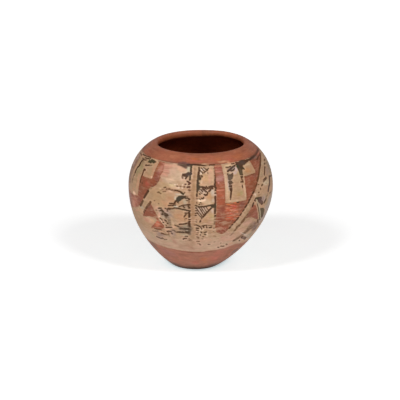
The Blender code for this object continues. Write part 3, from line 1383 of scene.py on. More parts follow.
    def left_bars(self) -> list[Stroke]:
        """Return the outlines of the bar, block and sash at the far left.

        Returns:
            Strokes from the bar by the rim down to the sash.
        """
        return strokes(
            (0.92, 1.4, -76, 144.3, -73, 144.5, -70, 144.8),
            (0.68, 1.3, -70, 144.9, -66, 145.2, -63, 145.8, -60, 146, -57, 145.2),
            (0.65, 1.5, -86, 142.4, -82, 142.8, -76, 142.6),
            (0.85, 1.5, -66.6, 142.8, -63, 143.5, -57.6, 144.2),
            (0.6, 1.4, -70.6, 141.4, -66, 140.6, -61.5, 141.6),
            (0.97, 3.5, -54, 143.5, -49.4, 142.8), (0.7, 2.6, -56.4, 142, -53, 141.3),
            (0.92, 1.8, -50.6, 143.6, -47.4, 143.2), (0.6, 1.7, -57, 141, -53, 141),
            (0.95, 3, -67.6, 139, -68.2, 136.4), (1, 3.4, -67.9, 135.2, -67.6, 133.4),
            (0.92, 1.5, -69.2, 131.2, -67.2, 131.6),
            (1, 2.8, -69.2, 130.4, -69.6, 127, -69.8, 124.2),
            (0.8, 1.5, -70.6, 121.2, -69.4, 121.6), (0.45, 3, -71, 119.4, -71, 113.6),
            (0.92, 1.6, -58.4, 136.6, -55.8, 137, -53.4, 138), (0.5, 1.3, -53.4, 138, -50, 138.6),
            (0.96, 1.9, -57.6, 132, -55.6, 131.8),
            (0.92, 2.3, -57.4, 130.4, -56.8, 128, -56.8, 126),
            (0.6, 2.1, -57.4, 124.6, -57.2, 121.4, -57.2, 118.6),
            (0.45, 1.6, -54.4, 119, -53.8, 117.8),
            (0.93, 2.8, -45.4, 112.4, -46.4, 110.6, -47.4, 108.6, -48.6, 106.4),
            (0.82, 2.6, -48.6, 106.4, -50, 104), (0.75, 3, -51.6, 99.8, -53.4, 96.6, -55.4, 93.8),
            (0.6, 2.8, -42.4, 101.6, -44.4, 98.4, -46.6, 95.2),
            (0.5, 2.6, -46.8, 95, -49.4, 91, -51.4, 87.4))

    def drips(self) -> list[Stroke]:
        """Return the strokes round the two hanging points on the right.

        Returns:
            Strokes round the left point, then round the right one.
        """
        return strokes(
            (0.8, 1.4, 23.8, 141.8, 26, 141.5, 28.6, 142.2),
            (0.8, 2.1, 24.4, 137.5, 26.4, 138.4, 28.6, 140, 31, 141.6, 33, 142.2),
            (0.75, 1.9, 27.6, 137.2, 30, 137.8, 31.6, 139.2),
            (0.88, 1.6, 23.6, 134.8, 23.7, 133.4),
            (0.82, 1.5, 25.6, 133.2, 27.2, 133.6, 28.4, 134.6),
            (0.88, 1.4, 24.8, 125.4, 26.6, 124.9), (0.92, 1.6, 23.2, 122, 25.2, 121.8),
            (0.8, 1.6, 23.2, 126.2, 24, 125), (0.92, 1.4, 24.6, 118.2, 24.6, 116.4),
            (0.98, 2, 24.2, 115.4, 23.9, 113, 23.6, 110.8), (0.42, 2.8, 24.6, 134, 24.6, 118),
            (0.75, 1.2, 23.5, 110.4, 23.4, 108.4), (0.92, 2.6, 35.4, 140.6, 36.6, 139.2),
            (0.92, 1.9, 37.2, 142.6, 38.6, 142), (0.96, 1.7, 37.6, 133.6, 37.8, 131.2),
            (0.92, 1.8, 35.6, 129.4, 37, 129.2), (0.5, 2.2, 35.8, 127.6, 36.2, 125.6),
            (0.75, 1.5, 34.4, 124.4, 36.6, 124), (0.94, 1.5, 35, 120.6, 35, 118.6),
            (0.96, 2.2, 40.2, 138.2, 41.4, 137), (0.92, 1.5, 30.6, 144.8, 33.4, 144.8),
            (0.96, 1.6, 35.4, 145.2, 38.4, 145), (0.96, 1.9, 38.4, 144, 40, 143.8),
            (0.8, 1.6, 28.8, 104.4, 30.4, 104.2))

    def sash_lines(self) -> list[Stroke]:
        """Return the broken dark lines along the slanting cream band on the right.

        Returns:
            Strokes of the band's edges and of the marks inside it.
        """
        edges = strokes(
            (0.92, 2.4, 50, 144.8, 55, 144.5, 60, 145.4),
            (0.82, 2.2, 60, 145.4, 66, 146.1, 72, 146.6, 78, 147.2, 86, 147.2),
            (0.78, 1.5, 64.6, 141, 68, 142, 72, 143, 78, 143.2, 83, 143.4),
            (0.95, 3, 52.2, 121.4, 54, 123.4), (0.68, 2.4, 54, 123.6, 57, 127.4, 60, 131),
            (0.78, 2.3, 60.4, 131.6, 64, 134, 67, 136.4),
            (0.78, 2.2, 67, 136.6, 70.4, 138.6, 74, 140.2),
            (0.6, 1.6, 74, 140.4, 77, 141.4, 80, 142.6), (0.5, 2, 50.6, 118.4, 49.6, 116.4),
            (0.86, 2, 45.6, 111.4, 44.4, 110.2), (0.86, 2, 43.2, 108.2, 42.2, 106.6),
            (0.96, 2.1, 41.4, 104.8, 40.4, 103.6), (0.95, 1.8, 40.2, 102.2, 39.4, 101.4),
            (0.95, 2.4, 38, 99.2, 36.8, 97.6), (0.92, 1.9, 35.8, 94.8, 34.8, 93.8),
            (0.86, 2, 33.4, 91, 32.6, 89.6), (0.86, 2.2, 31.4, 87.2, 30, 84.8),
            (0.86, 2, 29.2, 83.6, 28.4, 82), (0.75, 2.2, 27, 79.8, 25.8, 77.8, 25, 75.8),
            (0.85, 1.7, 46.4, 102.4, 47.4, 101.2), (0.85, 2.5, 45.2, 99.4, 44.4, 96.6),
            (0.65, 1.6, 40.4, 89, 39.4, 88), (0.5, 3, 38.6, 85.6, 37.6, 84),
            (0.55, 3.6, 37.2, 82.8, 36, 81), (0.58, 1.9, 35.4, 78.2, 35, 77.6),
            (0.62, 3.6, 33.8, 76.6, 32.2, 75.2), (0.48, 2.6, 31.2, 72.2, 30.6, 70.8),
            (0.38, 2.6, 29.4, 67.6, 28.4, 65.6), (0.78, 2, 56.4, 114.8, 58.4, 115.2),
            (0.8, 1.8, 54.4, 112.4, 54.8, 111.4), (0.65, 1.3, 51, 109, 52.4, 108.8),
            (0.5, 1.3, 52, 117.4, 53.4, 116.8), (0.4, 1.8, 63.6, 115, 64.6, 114.6),
            (0.55, 3, 60.8, 118.6, 66.4, 119.8), (0.88, 2.5, 64.6, 124, 67.4, 126.8, 69.4, 128.8),
            (0.96, 1.9, 69.8, 129.8, 72, 129.8), (0.8, 1.8, 72.8, 132.8, 76.2, 132.8),
            (0.8, 1.8, 77.6, 135.4, 82, 135.4), (0.85, 4.6, 73.6, 117.6, 72.6, 115, 71, 111),
            (0.75, 4.2, 68.8, 109, 67.2, 106), (0.75, 1.4, 75, 118.2, 80, 117, 84, 116.4),
            (0.5, 1.5, 70.4, 101.8, 75, 101.6))
        fan = strokes(
            (0.95, 2, 47.4, 103.6, 49, 104, 50.8, 103), (0.72, 3.4, 50.8, 102.8, 54.6, 101.8),
            (0.66, 4.2, 51.8, 100.2, 54.6, 98, 57, 95.8), (0.8, 3.6, 60.6, 95.6, 62.6, 97.4),
            (0.4, 3, 62.6, 97.4, 65, 102),
            (0.7, 1.3, 49.8, 97.4, 51.8, 92.6, 54, 87.6, 56.4, 82.4, 58.6, 78.4, 62, 74.6),
            (0.8, 1.6, 56, 76.8, 58, 74, 60.2, 72), (0.85, 1.7, 44.8, 63.8, 43.6, 62.6),
            (0.5, 1.7, 35.6, 57, 34.4, 56), (0.62, 3.6, 43.8, 58.6, 46, 57.6, 49, 55.6, 51.4, 54),
            (0.88, 1.7, 42.2, 54.6, 43.4, 53.4),
            (0.8, 1.2, 48.6, 59.6, 51.4, 57.4, 54.6, 54.8, 58, 52.4, 61.6, 50.4),
            (0.55, 1.1, 40.6, 65.8, 43.4, 62.8), (0.88, 1.7, 22.4, 50.9, 24.4, 50.3, 26, 49.9),
            (0.8, 1.5, 19.4, 50, 20.8, 49), (0.5, 1.8, 27.6, 53, 28.8, 51.8))
        return (
            edges
            + fan)

    def strokes(self) -> list[Stroke]:
        """Return every brush stroke."""
        return (self.frame_lines() + self.hatched_steps() + self.worn_steps()
                + self.left_figure() + self.dark_clumps() + self.left_bars() + self.drips()
                + self.sash_lines())

    def fields(self) -> list[Field]:
        """Return every filled shape: the red ones, the cream ones over them, then the black.

        Returns:
            Filled shapes, each laid over the ones before it.
        """
        rows = (
            (Ink.RED, 1, 12.3, 145.8, 19.8, 145.8, 19.9, 130, 19, 105.2, 37.7, 105, 38, 129.5,
             53.2, 129.8, 53, 145.4, 62, 146.6, 74, 147.2, 88, 147.2, 88, 145, 82, 144, 76, 141,
             70, 138, 63, 133.2, 60, 130.4, 57, 126.6, 54, 122.4, 51.5, 118.6, 49, 114.6, 46.5,
             110.6, 44.2, 107.4, 42, 104.6, 40, 101.8, 38, 98.2, 35.5, 94.2, 33.5, 90.4, 31.5, 87,
             29.5, 83.6, 27.5, 80, 25.5, 76.4, 23.4, 73.4, 21.4, 70.4, 20, 69, 18, 69.4, 15.6, 71,
             13.4, 74, 12.4, 78, 12, 82, 12.1, 104),
            (Ink.RED, 0.9, -57.6, 125.2, -45, 125.4, -43.6, 127, -43.5, 145.4, -36.6, 145.4, -35.4,
             140, -34.6, 135, -36.2, 131, -35.4, 128.6, -36, 125.4, -37.2, 122, -39.6, 118.6, -44,
             116.2, -46, 113, -46.8, 110, -48.4, 107, -50.4, 103.4, -52.4, 100.2, -54.4, 96.8,
             -56.4, 93.4, -60, 90.4, -66, 87.6, -74, 85, -90, 84, -97, 92, -90, 101, -74, 102.6,
             -66, 101.2, -58.6, 103.4),
            (Ink.RED, 1, -43, 101.4, -40.6, 97.2, -38.6, 93, -36.6, 88.4, -34.8, 84.8, -32.9, 81,
             -30.6, 77.8, -30.4, 75.8, -32.6, 73.4, -35.6, 71.4, -46, 70.9, -44.6, 73, -41.4, 76.4,
             -38.8, 80, -37.2, 82.6, -37.6, 84.6, -45, 85, -50, 83, -53.6, 82.6, -51.4, 88, -47.4,
             94.4),
            (Ink.RED, 1, 44.2, 97.2, 47.6, 97.6, 50.2, 92, 52.2, 87.2, 54.6, 81.4, 56.8, 76.4, 51,
             80.2, 46.2, 83.4, 41.2, 84.4, 38.6, 83.4, 40.2, 88.2, 41.4, 91.8),
            (Ink.RED, 1, -100, 43, -100, 47, -70, 48, -56, 47.6, -46, 47, -38, 46, -28, 45.4, -18,
             44.5, -8, 43.4, 4, 43.4, 10, 45, 20, 45.6, 29, 46.2, 34, 48.2, 40, 50, 44, 49.2, 48,
             47.8, 54, 47, 66, 46.6, 80, 47, 100, 47, 100, 43),
            (Ink.CREAM, 1, -71.4, 145, -71.4, 103.4, -66, 101.6, -58.8, 104, -58.4, 125, -57.8,
             145),
            (Ink.CREAM, 1, 19.9, 144.6, 20.1, 130, 19.1, 118, 19.1, 105.6, 26, 106.4, 33, 106.2,
             37.6, 104.6, 37.7, 121, 38.6, 124, 38.6, 144),
            (Ink.CREAM, 1, 38.6, 129.8, 52.6, 129.8, 53, 136, 52.4, 142.4, 47, 142, 43, 140.4, 40,
             138, 38.4, 135),
            (Ink.BLACK, 0.95, -19.4, 108.2, -19, 111, -17.4, 113, -15, 113.7, -12, 113.4, -11.2,
             112.2, -12.8, 110.9, -14.6, 109.4, -16.2, 107.6, -18, 107),
            (Ink.BLACK, 0.82, 23.1, 132.8, 24, 133.4, 27.6, 133.8, 29, 134.8, 28.6, 131.8, 27.4,
             129.4, 26.6, 128.4, 23.2, 128.4),
            (Ink.BLACK, 0.85, 22.9, 127.2, 26.4, 127.2, 26.8, 124.6, 25.6, 124, 23, 123.8),
            (Ink.BLACK, 0.85, 22.9, 119.8, 25.3, 119.6, 25.2, 116.6, 24.6, 115.4, 23.4, 117),
            (Ink.BLACK, 0.92, 34.4, 141, 36, 144, 39, 145.4, 42, 145.6, 44.4, 144, 42.8, 141.4,
             40.6, 139, 39, 135.6, 38.4, 132.6, 38, 131.4, 36.2, 132, 35, 136),
            (Ink.BLACK, 0.72, 34.8, 141, 34.9, 136, 34.9, 131.4, 36.4, 130.6, 37.6, 130.8, 38.4,
             132.6, 39, 135.6, 40.6, 137.4, 42, 138.4, 41, 140.4, 39, 141.4, 37, 142.6),
            (Ink.BLACK, 0.97, 33.6, 142.4, 35, 144.4, 38, 145.2, 40, 146.2, 43, 146.8, 46, 146.6,
             49, 146, 52, 145.8, 56, 145.6, 58, 144.4, 56, 143.2, 52, 143.4, 49, 142.6, 46, 141.6,
             43.6, 140.6, 41, 141.6, 38, 142.4),
            (Ink.BLACK, 0.72, 54.8, 90.8, 57, 90.4, 60.2, 89.6, 64, 86, 64.8, 81.6, 65.2, 77, 63.2,
             75, 60.8, 77.6, 58.8, 81.6, 56.6, 86.2))
        return [Field(row[0], row[1], pairs(row[2:])) for row in rows]

    def ink_tints(self) -> list[Wash]:
        """Return the changes of the black paint, from olive and grey to maroon.

        Returns:
            Washes that change the black alone.
        """
        return washes(
            Layer.INK,
            ((62, 60, 50), (-15.6, 110.6, 5, 4, 1)),
            ((70, 60, 60), (-10, 136, 3, 2.6, 1), (-14, 144.6, 7, 3, 0.8)),
            ((66, 56, 34), (-9, 142, 1.6, 5, 1), (-9, 132.6, 1.6, 3, 0.9),
             (-14.6, 115.6, 2, 2, 0.8), (4, 103.6, 7, 2, 0.8), (41, 138, 2, 1.6, 0.9)),
            ((88, 46, 36), (-10.6, 125, 4, 5, 0.95), (11.2, 111, 2, 5, 0.7),
             (47.6, 143.6, 2.4, 1.6, 0.9), (37, 145, 2, 1, 0.9), (32, 144.8, 2.4, 1, 0.8),
             (37.6, 98.4, 2.4, 2, 0.6), (7, 119, 1.6, 1.6, 0.6)),
            ((110, 76, 50), (-4, 59, 8, 6, 0.9), (-44.5, 98, 4, 5, 0.9)),
            ((84, 58, 34), (3, 76, 9, 9, 0.8)),
            ((120, 84, 56), (14, 63, 8, 8, 0.9)),
            ((88, 74, 60), (-13, 75, 8, 6, 0.9)),
            ((112, 86, 52), (56, 113, 6, 5, 0.9), (78, 134, 8, 3, 0.9)),
            ((100, 66, 42), (23, 50.5, 6, 2, 0.9), (-28, 117, 9, 4, 0.8), (-19, 96, 7, 10, 0.5)),
            ((90, 56, 32), (40, 104, 5, 6, 0.9), (36, 97, 4, 5, 0.9), (31, 87, 4, 6, 0.9),
             (26.5, 79, 4, 5, 0.9), (-47, 108, 5, 6, 0.9)),
            ((112, 74, 42), (54, 122.6, 4, 4, 0.9), (60, 130, 6, 6, 0.9), (70, 138.6, 8, 4, 0.9)),
            ((108, 76, 50), (36.5, 80, 3.5, 6, 0.9), (32, 74, 4, 5, 0.9), (40, 87.6, 3, 3, 0.9),
             (58, 74, 5, 4, 0.9), (-53.6, 97, 4, 5, 0.9), (67, 127, 5, 5, 0.9)),
            ((122, 74, 54), (72, 147, 16, 1.8, 0.9), (76, 143.4, 11, 1.4, 0.9),
             (-80, 143, 8, 2, 0.9)),
            ((104, 78, 66), (72.4, 114, 4, 6, 0.9), (68, 107, 4, 4, 0.9)),
            ((70, 62, 46), (-2, 125, 2.4, 7, 0.95), (9.4, 102.6, 2.6, 3, 0.9),
             (-12, 100, 9, 3, 0.6), (11, 103.4, 1.6, 3, 0.8)),
            ((82, 66, 60), (43, 144.6, 4.4, 3, 0.95), (62, 144, 8, 2, 0.6),
             (29.6, 140, 4, 3, 0.95), (-39, 59.4, 5, 2.4, 0.9), (-22.6, 70.6, 3, 4, 0.9)),
            ((54, 64, 48), (36.4, 140.6, 2.4, 2.6, 1)),
            ((104, 80, 76), (54, 100.4, 5, 5, 0.9), (46.6, 57, 6, 3, 0.9)),
            ((80, 46, 20), (1.6, 97, 4.4, 6, 0.9), (2.4, 119, 3.4, 4, 0.8),
             (1.6, 140.6, 3, 3, 0.6), (11.8, 134, 1.6, 10, 0.9)),
            ((92, 80, 60), (36.8, 134, 2.6, 4, 0.9), (-30, 92, 5, 6, 0.5)),
            ((104, 88, 74), (25.4, 129.6, 4, 6, 0.95)),
            ((72, 70, 44), (-53.6, 142.8, 7, 2.6, 0.95), (49, 103.6, 2.4, 1.4, 0.8),
             (43, 54, 2, 1.4, 0.8)),
            ((98, 88, 64), (60, 83.6, 6, 9, 0.9)),
            ((114, 94, 66), (62, 97, 3.6, 5, 0.9)),
            ((76, 48, 16), (-68.6, 131, 4, 11, 0.95), (-73, 144.5, 4, 1, 0.9)),
            ((100, 58, 30), (-57, 126, 2.4, 9, 0.9)))

    def cream_tints(self) -> list[Wash]:
        """Return the changes of the cream ground on the left and in the middle, with a painted
        highlight in the middle.

        Returns:
            Washes of the ground, from the left to the middle.
        """
        left = washes(
            Layer.GROUND,
            ((199, 166, 139), (-22, 135, 13, 10, 0.95), (-28, 128, 6, 4, 0.7)),
            ((226, 190, 158), (-25.5, 130, 4.4, 2.6, 0.8), (-20, 121.4, 4, 1.4, 0.5),
             (-24, 116.8, 2, 1.2, 0.6), (-33.6, 117.8, 1.4, 1, 0.6), (-27, 94, 0.9, 1, 0.6),
             (-33, 86.4, 1.1, 1, 0.7), (-22.6, 82.4, 1.4, 3.4, 0.5), (-46.4, 80.6, 4, 4, 0.6)),
            ((224, 172, 140), (-26, 143.4, 9, 1.8, 0.9), (-18, 140, 4, 2.4, 0.6),
             (-35.6, 95.6, 3, 2.4, 0.6), (-34.4, 88.6, 1.7, 4, 0.8), (-31.2, 82.6, 1.3, 2.2, 0.8),
             (-34, 61.2, 3, 0.9, 0.6), (-42, 79, 2.4, 2.4, 0.7), (-28, 73.6, 3, 1.4, 0.6),
             (-22, 77.6, 3, 1.2, 0.5), (-33.6, 69, 3, 1.3, 0.6)),
            ((180, 132, 96), (-27, 141, 5, 0.9, 0.6), (-16, 117, 3, 1.6, 0.4), (-7, 55, 5, 7, 0.3),
             (-30, 130.4, 5, 0.9, 0.5)),
            ((182, 172, 146), (-11.8, 141.2, 2.6, 3.6, 0.9), (-18.4, 112, 1.5, 2.4, 0.7),
             (-11.6, 107.4, 1.6, 3, 0.7), (-20, 101.6, 1.4, 1.1, 0.9), (-11, 75, 3, 0.8, 0.7),
             (-12, 69, 4, 1.3, 0.6), (-12.4, 79.6, 3, 1.6, 0.7), (-30.4, 87.6, 1.7, 2, 0.5)),
            ((216, 192, 148), (-23.5, 123, 3, 2.2, 0.75)),
            ((180, 148, 106), (-30, 122, 6, 3, 0.4), (-38, 112, 8, 7, 0.6), (-38, 104, 8, 7, 0.5),
             (-29, 112, 6, 4, 0.3), (-46, 107, 3, 4, 0.3)),
            ((200, 148, 108), (-22, 108.6, 6, 4, 0.5), (-28, 103, 5, 4, 0.5), (-18, 92, 6, 5, 0.7),
             (-15.6, 87, 4, 3, 0.4)),
            ((148, 130, 108), (-26.6, 88, 2.4, 6, 0.5), (-12, 103, 3, 2.4, 0.6),
             (-24, 98, 3, 2, 0.4)),
            ((134, 116, 100), (-12.4, 76, 6.4, 5, 0.7)),
            ((156, 136, 128), (-29, 92, 6, 6, 0.6)),
            ((192, 132, 106), (-49, 79, 4, 2.6, 0.7)),
            ((220, 180, 138), (-42, 81, 3, 2.4, 0.8)),
            ((206, 162, 136), (-27, 138, 5, 8, 0.5)),
            ((196, 136, 114), (-34, 138, 3.4, 8, 0.8), (-31, 139, 3, 6, 0.5)),
            ((234, 210, 188), (-21, 124.2, 0.7, 0.7, 0.8), (-19, 124.5, 0.6, 0.6, 0.8),
             (-14.6, 124.4, 0.6, 0.7, 0.8), (-17.6, 121.2, 1.1, 0.7, 0.7),
             (-14.4, 121, 0.9, 0.7, 0.7), (-11.6, 123.8, 0.5, 0.6, 0.7),
             (-14, 132.2, 0.5, 0.6, 0.8), (-10.6, 74.8, 0.9, 0.6, 0.9),
             (-8.6, 89.9, 0.8, 0.7, 0.8)),
            ((206, 192, 170), (-16, 114.7, 4, 0.8, 0.8), (-20, 110.6, 0.9, 2, 0.7),
             (-19.4, 101.6, 1.8, 0.8, 0.8)),
            ((242, 208, 178), (-33.4, 84, 0.8, 0.8, 0.9), (-32.2, 82.4, 0.7, 0.7, 0.9),
             (-31.2, 79.6, 0.7, 0.8, 0.8), (-29.8, 77.6, 0.8, 0.6, 0.8),
             (-29.4, 79.6, 0.6, 0.5, 0.7), (-34.4, 87.6, 0.9, 1.2, 0.6)),
            ((234, 202, 176), (0.4, 77, 0.6, 1.6, 0.8), (-2.4, 73.8, 0.9, 0.6, 0.7),
             (0.2, 71, 0.6, 1.4, 0.7), (2.2, 76, 0.7, 1, 0.7), (5.9, 71.6, 0.7, 1.4, 0.7),
             (6.4, 66.4, 0.7, 2, 0.6), (4.2, 63, 0.9, 1, 0.5), (-1.8, 77, 0.8, 0.4, 0.6),
             (0.2, 58.8, 0.8, 0.6, 0.6), (7, 81.8, 0.7, 0.5, 0.6)),
            ((148, 124, 118), (-37, 63.6, 4, 3, 0.75), (-38, 66.6, 4, 1.4, 0.4),
             (-22.6, 69.6, 2.6, 4.6, 0.6)),
            ((176, 154, 122), (-30, 57.5, 6, 3, 0.6), (-48, 60, 5, 5, 0.5)),
            ((184, 132, 112), (-23, 57.5, 3, 4, 0.65), (-35, 50.4, 7, 1.6, 0.4),
             (-44, 75.4, 4, 1, 0.5), (-12, 52, 12, 6, 0.3)))
        middle = washes(
            Layer.GROUND,
            ((166, 126, 92), (-6, 127, 1.7, 13, 0.8), (-6, 98, 1.7, 20, 0.75),
             (-6, 66, 1.8, 14, 0.4)),
            ((200, 152, 106), (4, 130.5, 3.6, 3.6, 0.6), (6.6, 113.5, 1.8, 4, 0.8),
             (7.4, 92.6, 2, 3.6, 0.5), (4.4, 89, 2, 3, 0.4)),
            ((220, 172, 138), (-7.3, 139, 0.9, 6, 0.7), (5, 136.4, 1, 1.6, 0.6),
             (8.2, 139.4, 1.8, 2, 0.6), (9.6, 133, 1.5, 6, 0.5)),
            ((210, 156, 132), (7.2, 130, 1.1, 6, 0.7), (8.4, 139, 1.6, 1.6, 0.5),
             (7, 85, 2.4, 1.8, 0.6), (4, 61, 7, 5, 0.25)),
            ((212, 184, 152), (0.5, 127.4, 0.9, 1.4, 0.6), (1.6, 116.8, 2.2, 1.8, 0.7),
             (3.2, 120.6, 1.2, 1, 0.5), (5, 108, 3, 2.4, 0.5), (1, 76.4, 2, 2, 0.6),
             (0.5, 71.4, 1.2, 3, 0.6), (6, 69.6, 1.6, 2.4, 0.6), (-1.6, 74, 1, 0.7, 0.6),
             (0.2, 58.8, 1, 0.6, 0.7), (12, 76.6, 1.6, 0.6, 0.6), (14, 49.2, 6, 1.4, 0.6)),
            ((194, 174, 156), (-1.4, 119.6, 0.8, 1, 0.8), (9, 117, 1.6, 3, 0.85),
             (9.4, 108.8, 1, 2, 0.6), (9.2, 97.6, 1.2, 2.6, 0.7), (11, 114.6, 0.8, 0.8, 0.8)),
            ((204, 180, 158), (1.2, 98.4, 4, 4.6, 0.7), (2.2, 119.6, 3, 2.8, 0.7),
             (2, 140.8, 2.4, 2.4, 0.5)),
            ((238, 216, 196), (0.9, 140.5, 0.8, 1.2, 0.9), (3.1, 141.6, 0.8, 0.9, 0.9),
             (-0.5, 138.4, 0.7, 1, 0.9), (0.4, 136.6, 0.8, 1, 0.8), (4.6, 137.6, 0.7, 0.9, 0.6)),
            # The pale spot at turn 0, slant 109 is a painted highlight.
            ((242, 212, 180), (0, 109, 2.4, 1.6, 1), (2.8, 110, 1.4, 1.2, 0.7)),
            ((184, 162, 112), (9.4, 90.4, 1.4, 3, 0.6), (7.6, 93, 1.6, 2, 0.4)))
        return (
            left
            + middle)

    def edge_tints(self) -> list[Wash]:
        """Return the changes of the cream ground at the far left and on the right, with a painted
        highlight, painted reflection and painted shade among them.

        Returns:
            Washes of the ground, those at the left edge first.
        """
        left = washes(
            Layer.GROUND,
            ((160, 142, 100), (-65, 128, 3.4, 8, 0.85), (-61, 131, 2.4, 5, 0.5),
             (-57, 141.4, 3, 0.8, 0.6), (-73, 137.4, 2.4, 2.4, 0.6)),
            ((178, 148, 110), (-65, 114, 4, 7, 0.6), (-48.4, 134, 3, 7, 0.6),
             (-50, 98, 2, 4, 0.4)),
            ((204, 150, 116), (-60.6, 116, 2, 10, 0.75), (-73, 143, 2.6, 1, 0.6),
             (-45.6, 137, 1.4, 8, 0.6), (-49, 127.4, 4, 1.8, 0.6), (-74, 127, 1.6, 8, 0.6),
             (-61, 103.2, 3, 1.3, 0.6), (-54.6, 86.4, 3, 1.6, 0.7), (-68, 107, 2, 2, 0.6)),
            # Grey-pink wash where the wall turns away at the far left: painted sheen and shade of
            # the grazing light.
            ((168, 138, 128), (-86, 100, 8, 40, 0.7)),
            ((138, 98, 80), (-78, 132, 3.6, 10, 0.9), (-82, 119, 5, 6, 0.6),
             (-78, 113, 4, 3, 0.6)),
            ((130, 100, 66), (-65, 138, 4, 2.2, 0.8)),
            ((206, 168, 130), (-56, 88, 4, 4, 0.7)),
            ((116, 90, 74), (-85, 125.8, 6, 0.9, 0.8)),
            # Grey-pink washes at the far left: painted sheen and shade of the grazing light.
            ((184, 148, 138), (-84, 137, 5, 3, 0.7), (-84, 129, 5, 2, 0.6), (-84, 104, 7, 5, 0.6),
             (-88, 92, 6, 3, 0.6)),
            # The pale spot at turn -65.4, slant 103.6 is a painted highlight.
            ((252, 208, 174), (-65.4, 103.6, 2.8, 1.8, 1), (-44.6, 127, 1, 1.6, 0.7)),
            ((196, 160, 130), (-47, 103, 2.4, 2, 0.6), (-56.6, 91.4, 1.6, 0.8, 0.7),
             (-55, 82.6, 2.2, 1.6, 0.6)),
            # The wash at turn -85, slant 84 is a painted reflection on the grazing side.
            ((184, 174, 150), (-53, 92.4, 1.8, 1.8, 0.7), (-85, 84, 8, 5, 0.7)))
        upper = washes(
            Layer.GROUND,
            ((214, 178, 146), (20.8, 122, 1.1, 14, 0.85), (36.8, 114, 1, 7, 0.85),
             (27, 106.4, 7, 1.1, 0.7), (31, 122.6, 2, 0.7, 0.5), (22, 140, 1.4, 3, 0.6)),
            ((190, 170, 156), (22.6, 122, 0.8, 6, 0.75), (29.5, 139.4, 1.6, 0.9, 0.7),
             (28.6, 136.2, 3, 0.7, 0.5)),
            ((184, 150, 116), (30.6, 120, 4, 9, 0.6)),
            ((180, 146, 96), (30.6, 111.6, 2.4, 2.6, 0.75)),
            ((164, 150, 98), (33.2, 113, 1.4, 3, 0.7), (34.2, 133.6, 0.8, 2.4, 0.6)),
            ((192, 172, 168), (33, 138.4, 1.4, 2.6, 0.85), (31, 134.6, 1.8, 1.4, 0.7)),
            ((182, 178, 150), (25.4, 134.9, 1.2, 0.7, 0.85)),
            ((214, 186, 144), (26.6, 143.8, 4, 0.8, 0.85), (31.6, 143.2, 1.4, 0.6, 0.8)),
            ((184, 132, 86), (45.6, 134, 5, 4.4, 0.9)),
            ((206, 178, 142), (42.6, 137.4, 1.8, 1.4, 0.7), (48, 140.2, 4, 1.2, 0.6)),
            ((178, 138, 104), (51, 135, 2.6, 6, 0.8)),
            ((230, 200, 170), (47.2, 108.2, 1.7, 1.9, 1)),
            ((192, 148, 120), (52, 112.6, 4, 4, 0.5), (58, 106.4, 2.4, 2, 0.6),
             (76, 106, 4, 3, 0.6)),
            ((206, 182, 152), (65.4, 115.4, 5.4, 3, 0.9), (79, 139.4, 4, 1, 0.6),
             (70, 134.6, 4, 1.6, 0.5)),
            ((166, 134, 118), (73, 125.5, 4, 3.6, 0.85), (56, 100.4, 2.4, 2, 0.6)),
            ((132, 112, 92), (82, 126, 5, 6, 0.7)),
            ((146, 132, 104), (82, 120, 4, 4, 0.6), (63, 100, 2, 3, 0.6), (60, 126, 3, 3, 0.3)))
        lower = washes(
            Layer.GROUND,
            ((150, 104, 70), (52, 106.4, 1.3, 1.3, 0.7), (41, 60.6, 3, 2, 0.4)),
            ((168, 154, 124), (66, 91.6, 4, 2, 0.6), (58, 57, 5, 3, 0.6)),
            # Grey-pink washes where the wall turns away at the right: painted sheen and shade of
            # the grazing light.
            ((190, 176, 166), (88, 95, 7, 30, 0.6), (79, 92, 6, 9, 0.8)),
            ((182, 164, 154), (71, 84, 8, 12, 1), (76, 97, 5, 4, 0.6), (68, 74, 8, 5, 0.9)),
            ((190, 165, 155), (58, 100.5, 3, 4, 0.7)),
            ((128, 98, 88), (54, 100, 4, 4, 0.7)),
            ((188, 140, 120), (44, 78.4, 5, 3.2, 0.95), (46, 82.4, 3, 1, 0.5),
             (24, 69.4, 3, 3, 0.6), (24, 64.6, 5, 3, 0.5), (40, 63.8, 4, 2.6, 0.5)),
            ((190, 146, 114), (41, 73, 5, 3, 0.5)),
            ((212, 160, 130), (34.6, 71.6, 2.4, 3, 0.6), (29, 60, 4, 2.2, 0.75),
             (33.4, 52.6, 2.6, 1.5, 0.85)),
            ((216, 184, 156), (29, 49, 2.4, 1.1, 0.75), (22.6, 52.4, 2.4, 1.3, 0.6),
             (24, 57.4, 4, 2, 0.4)),
            ((126, 92, 64), (47, 66.8, 2.5, 3, 0.8)),
            ((128, 102, 92), (52, 74.4, 3, 2.2, 1), (54, 70, 4.6, 3, 1), (60, 66, 5, 5, 0.9)),
            ((190, 164, 160), (43.4, 58.4, 1.4, 1.3, 0.8)),
            ((206, 160, 120), (50, 50.2, 3, 1.8, 0.85)),
            ((192, 170, 132), (32.6, 83, 1.8, 3, 0.6)))
        return (
            left
            + upper
            + lower)

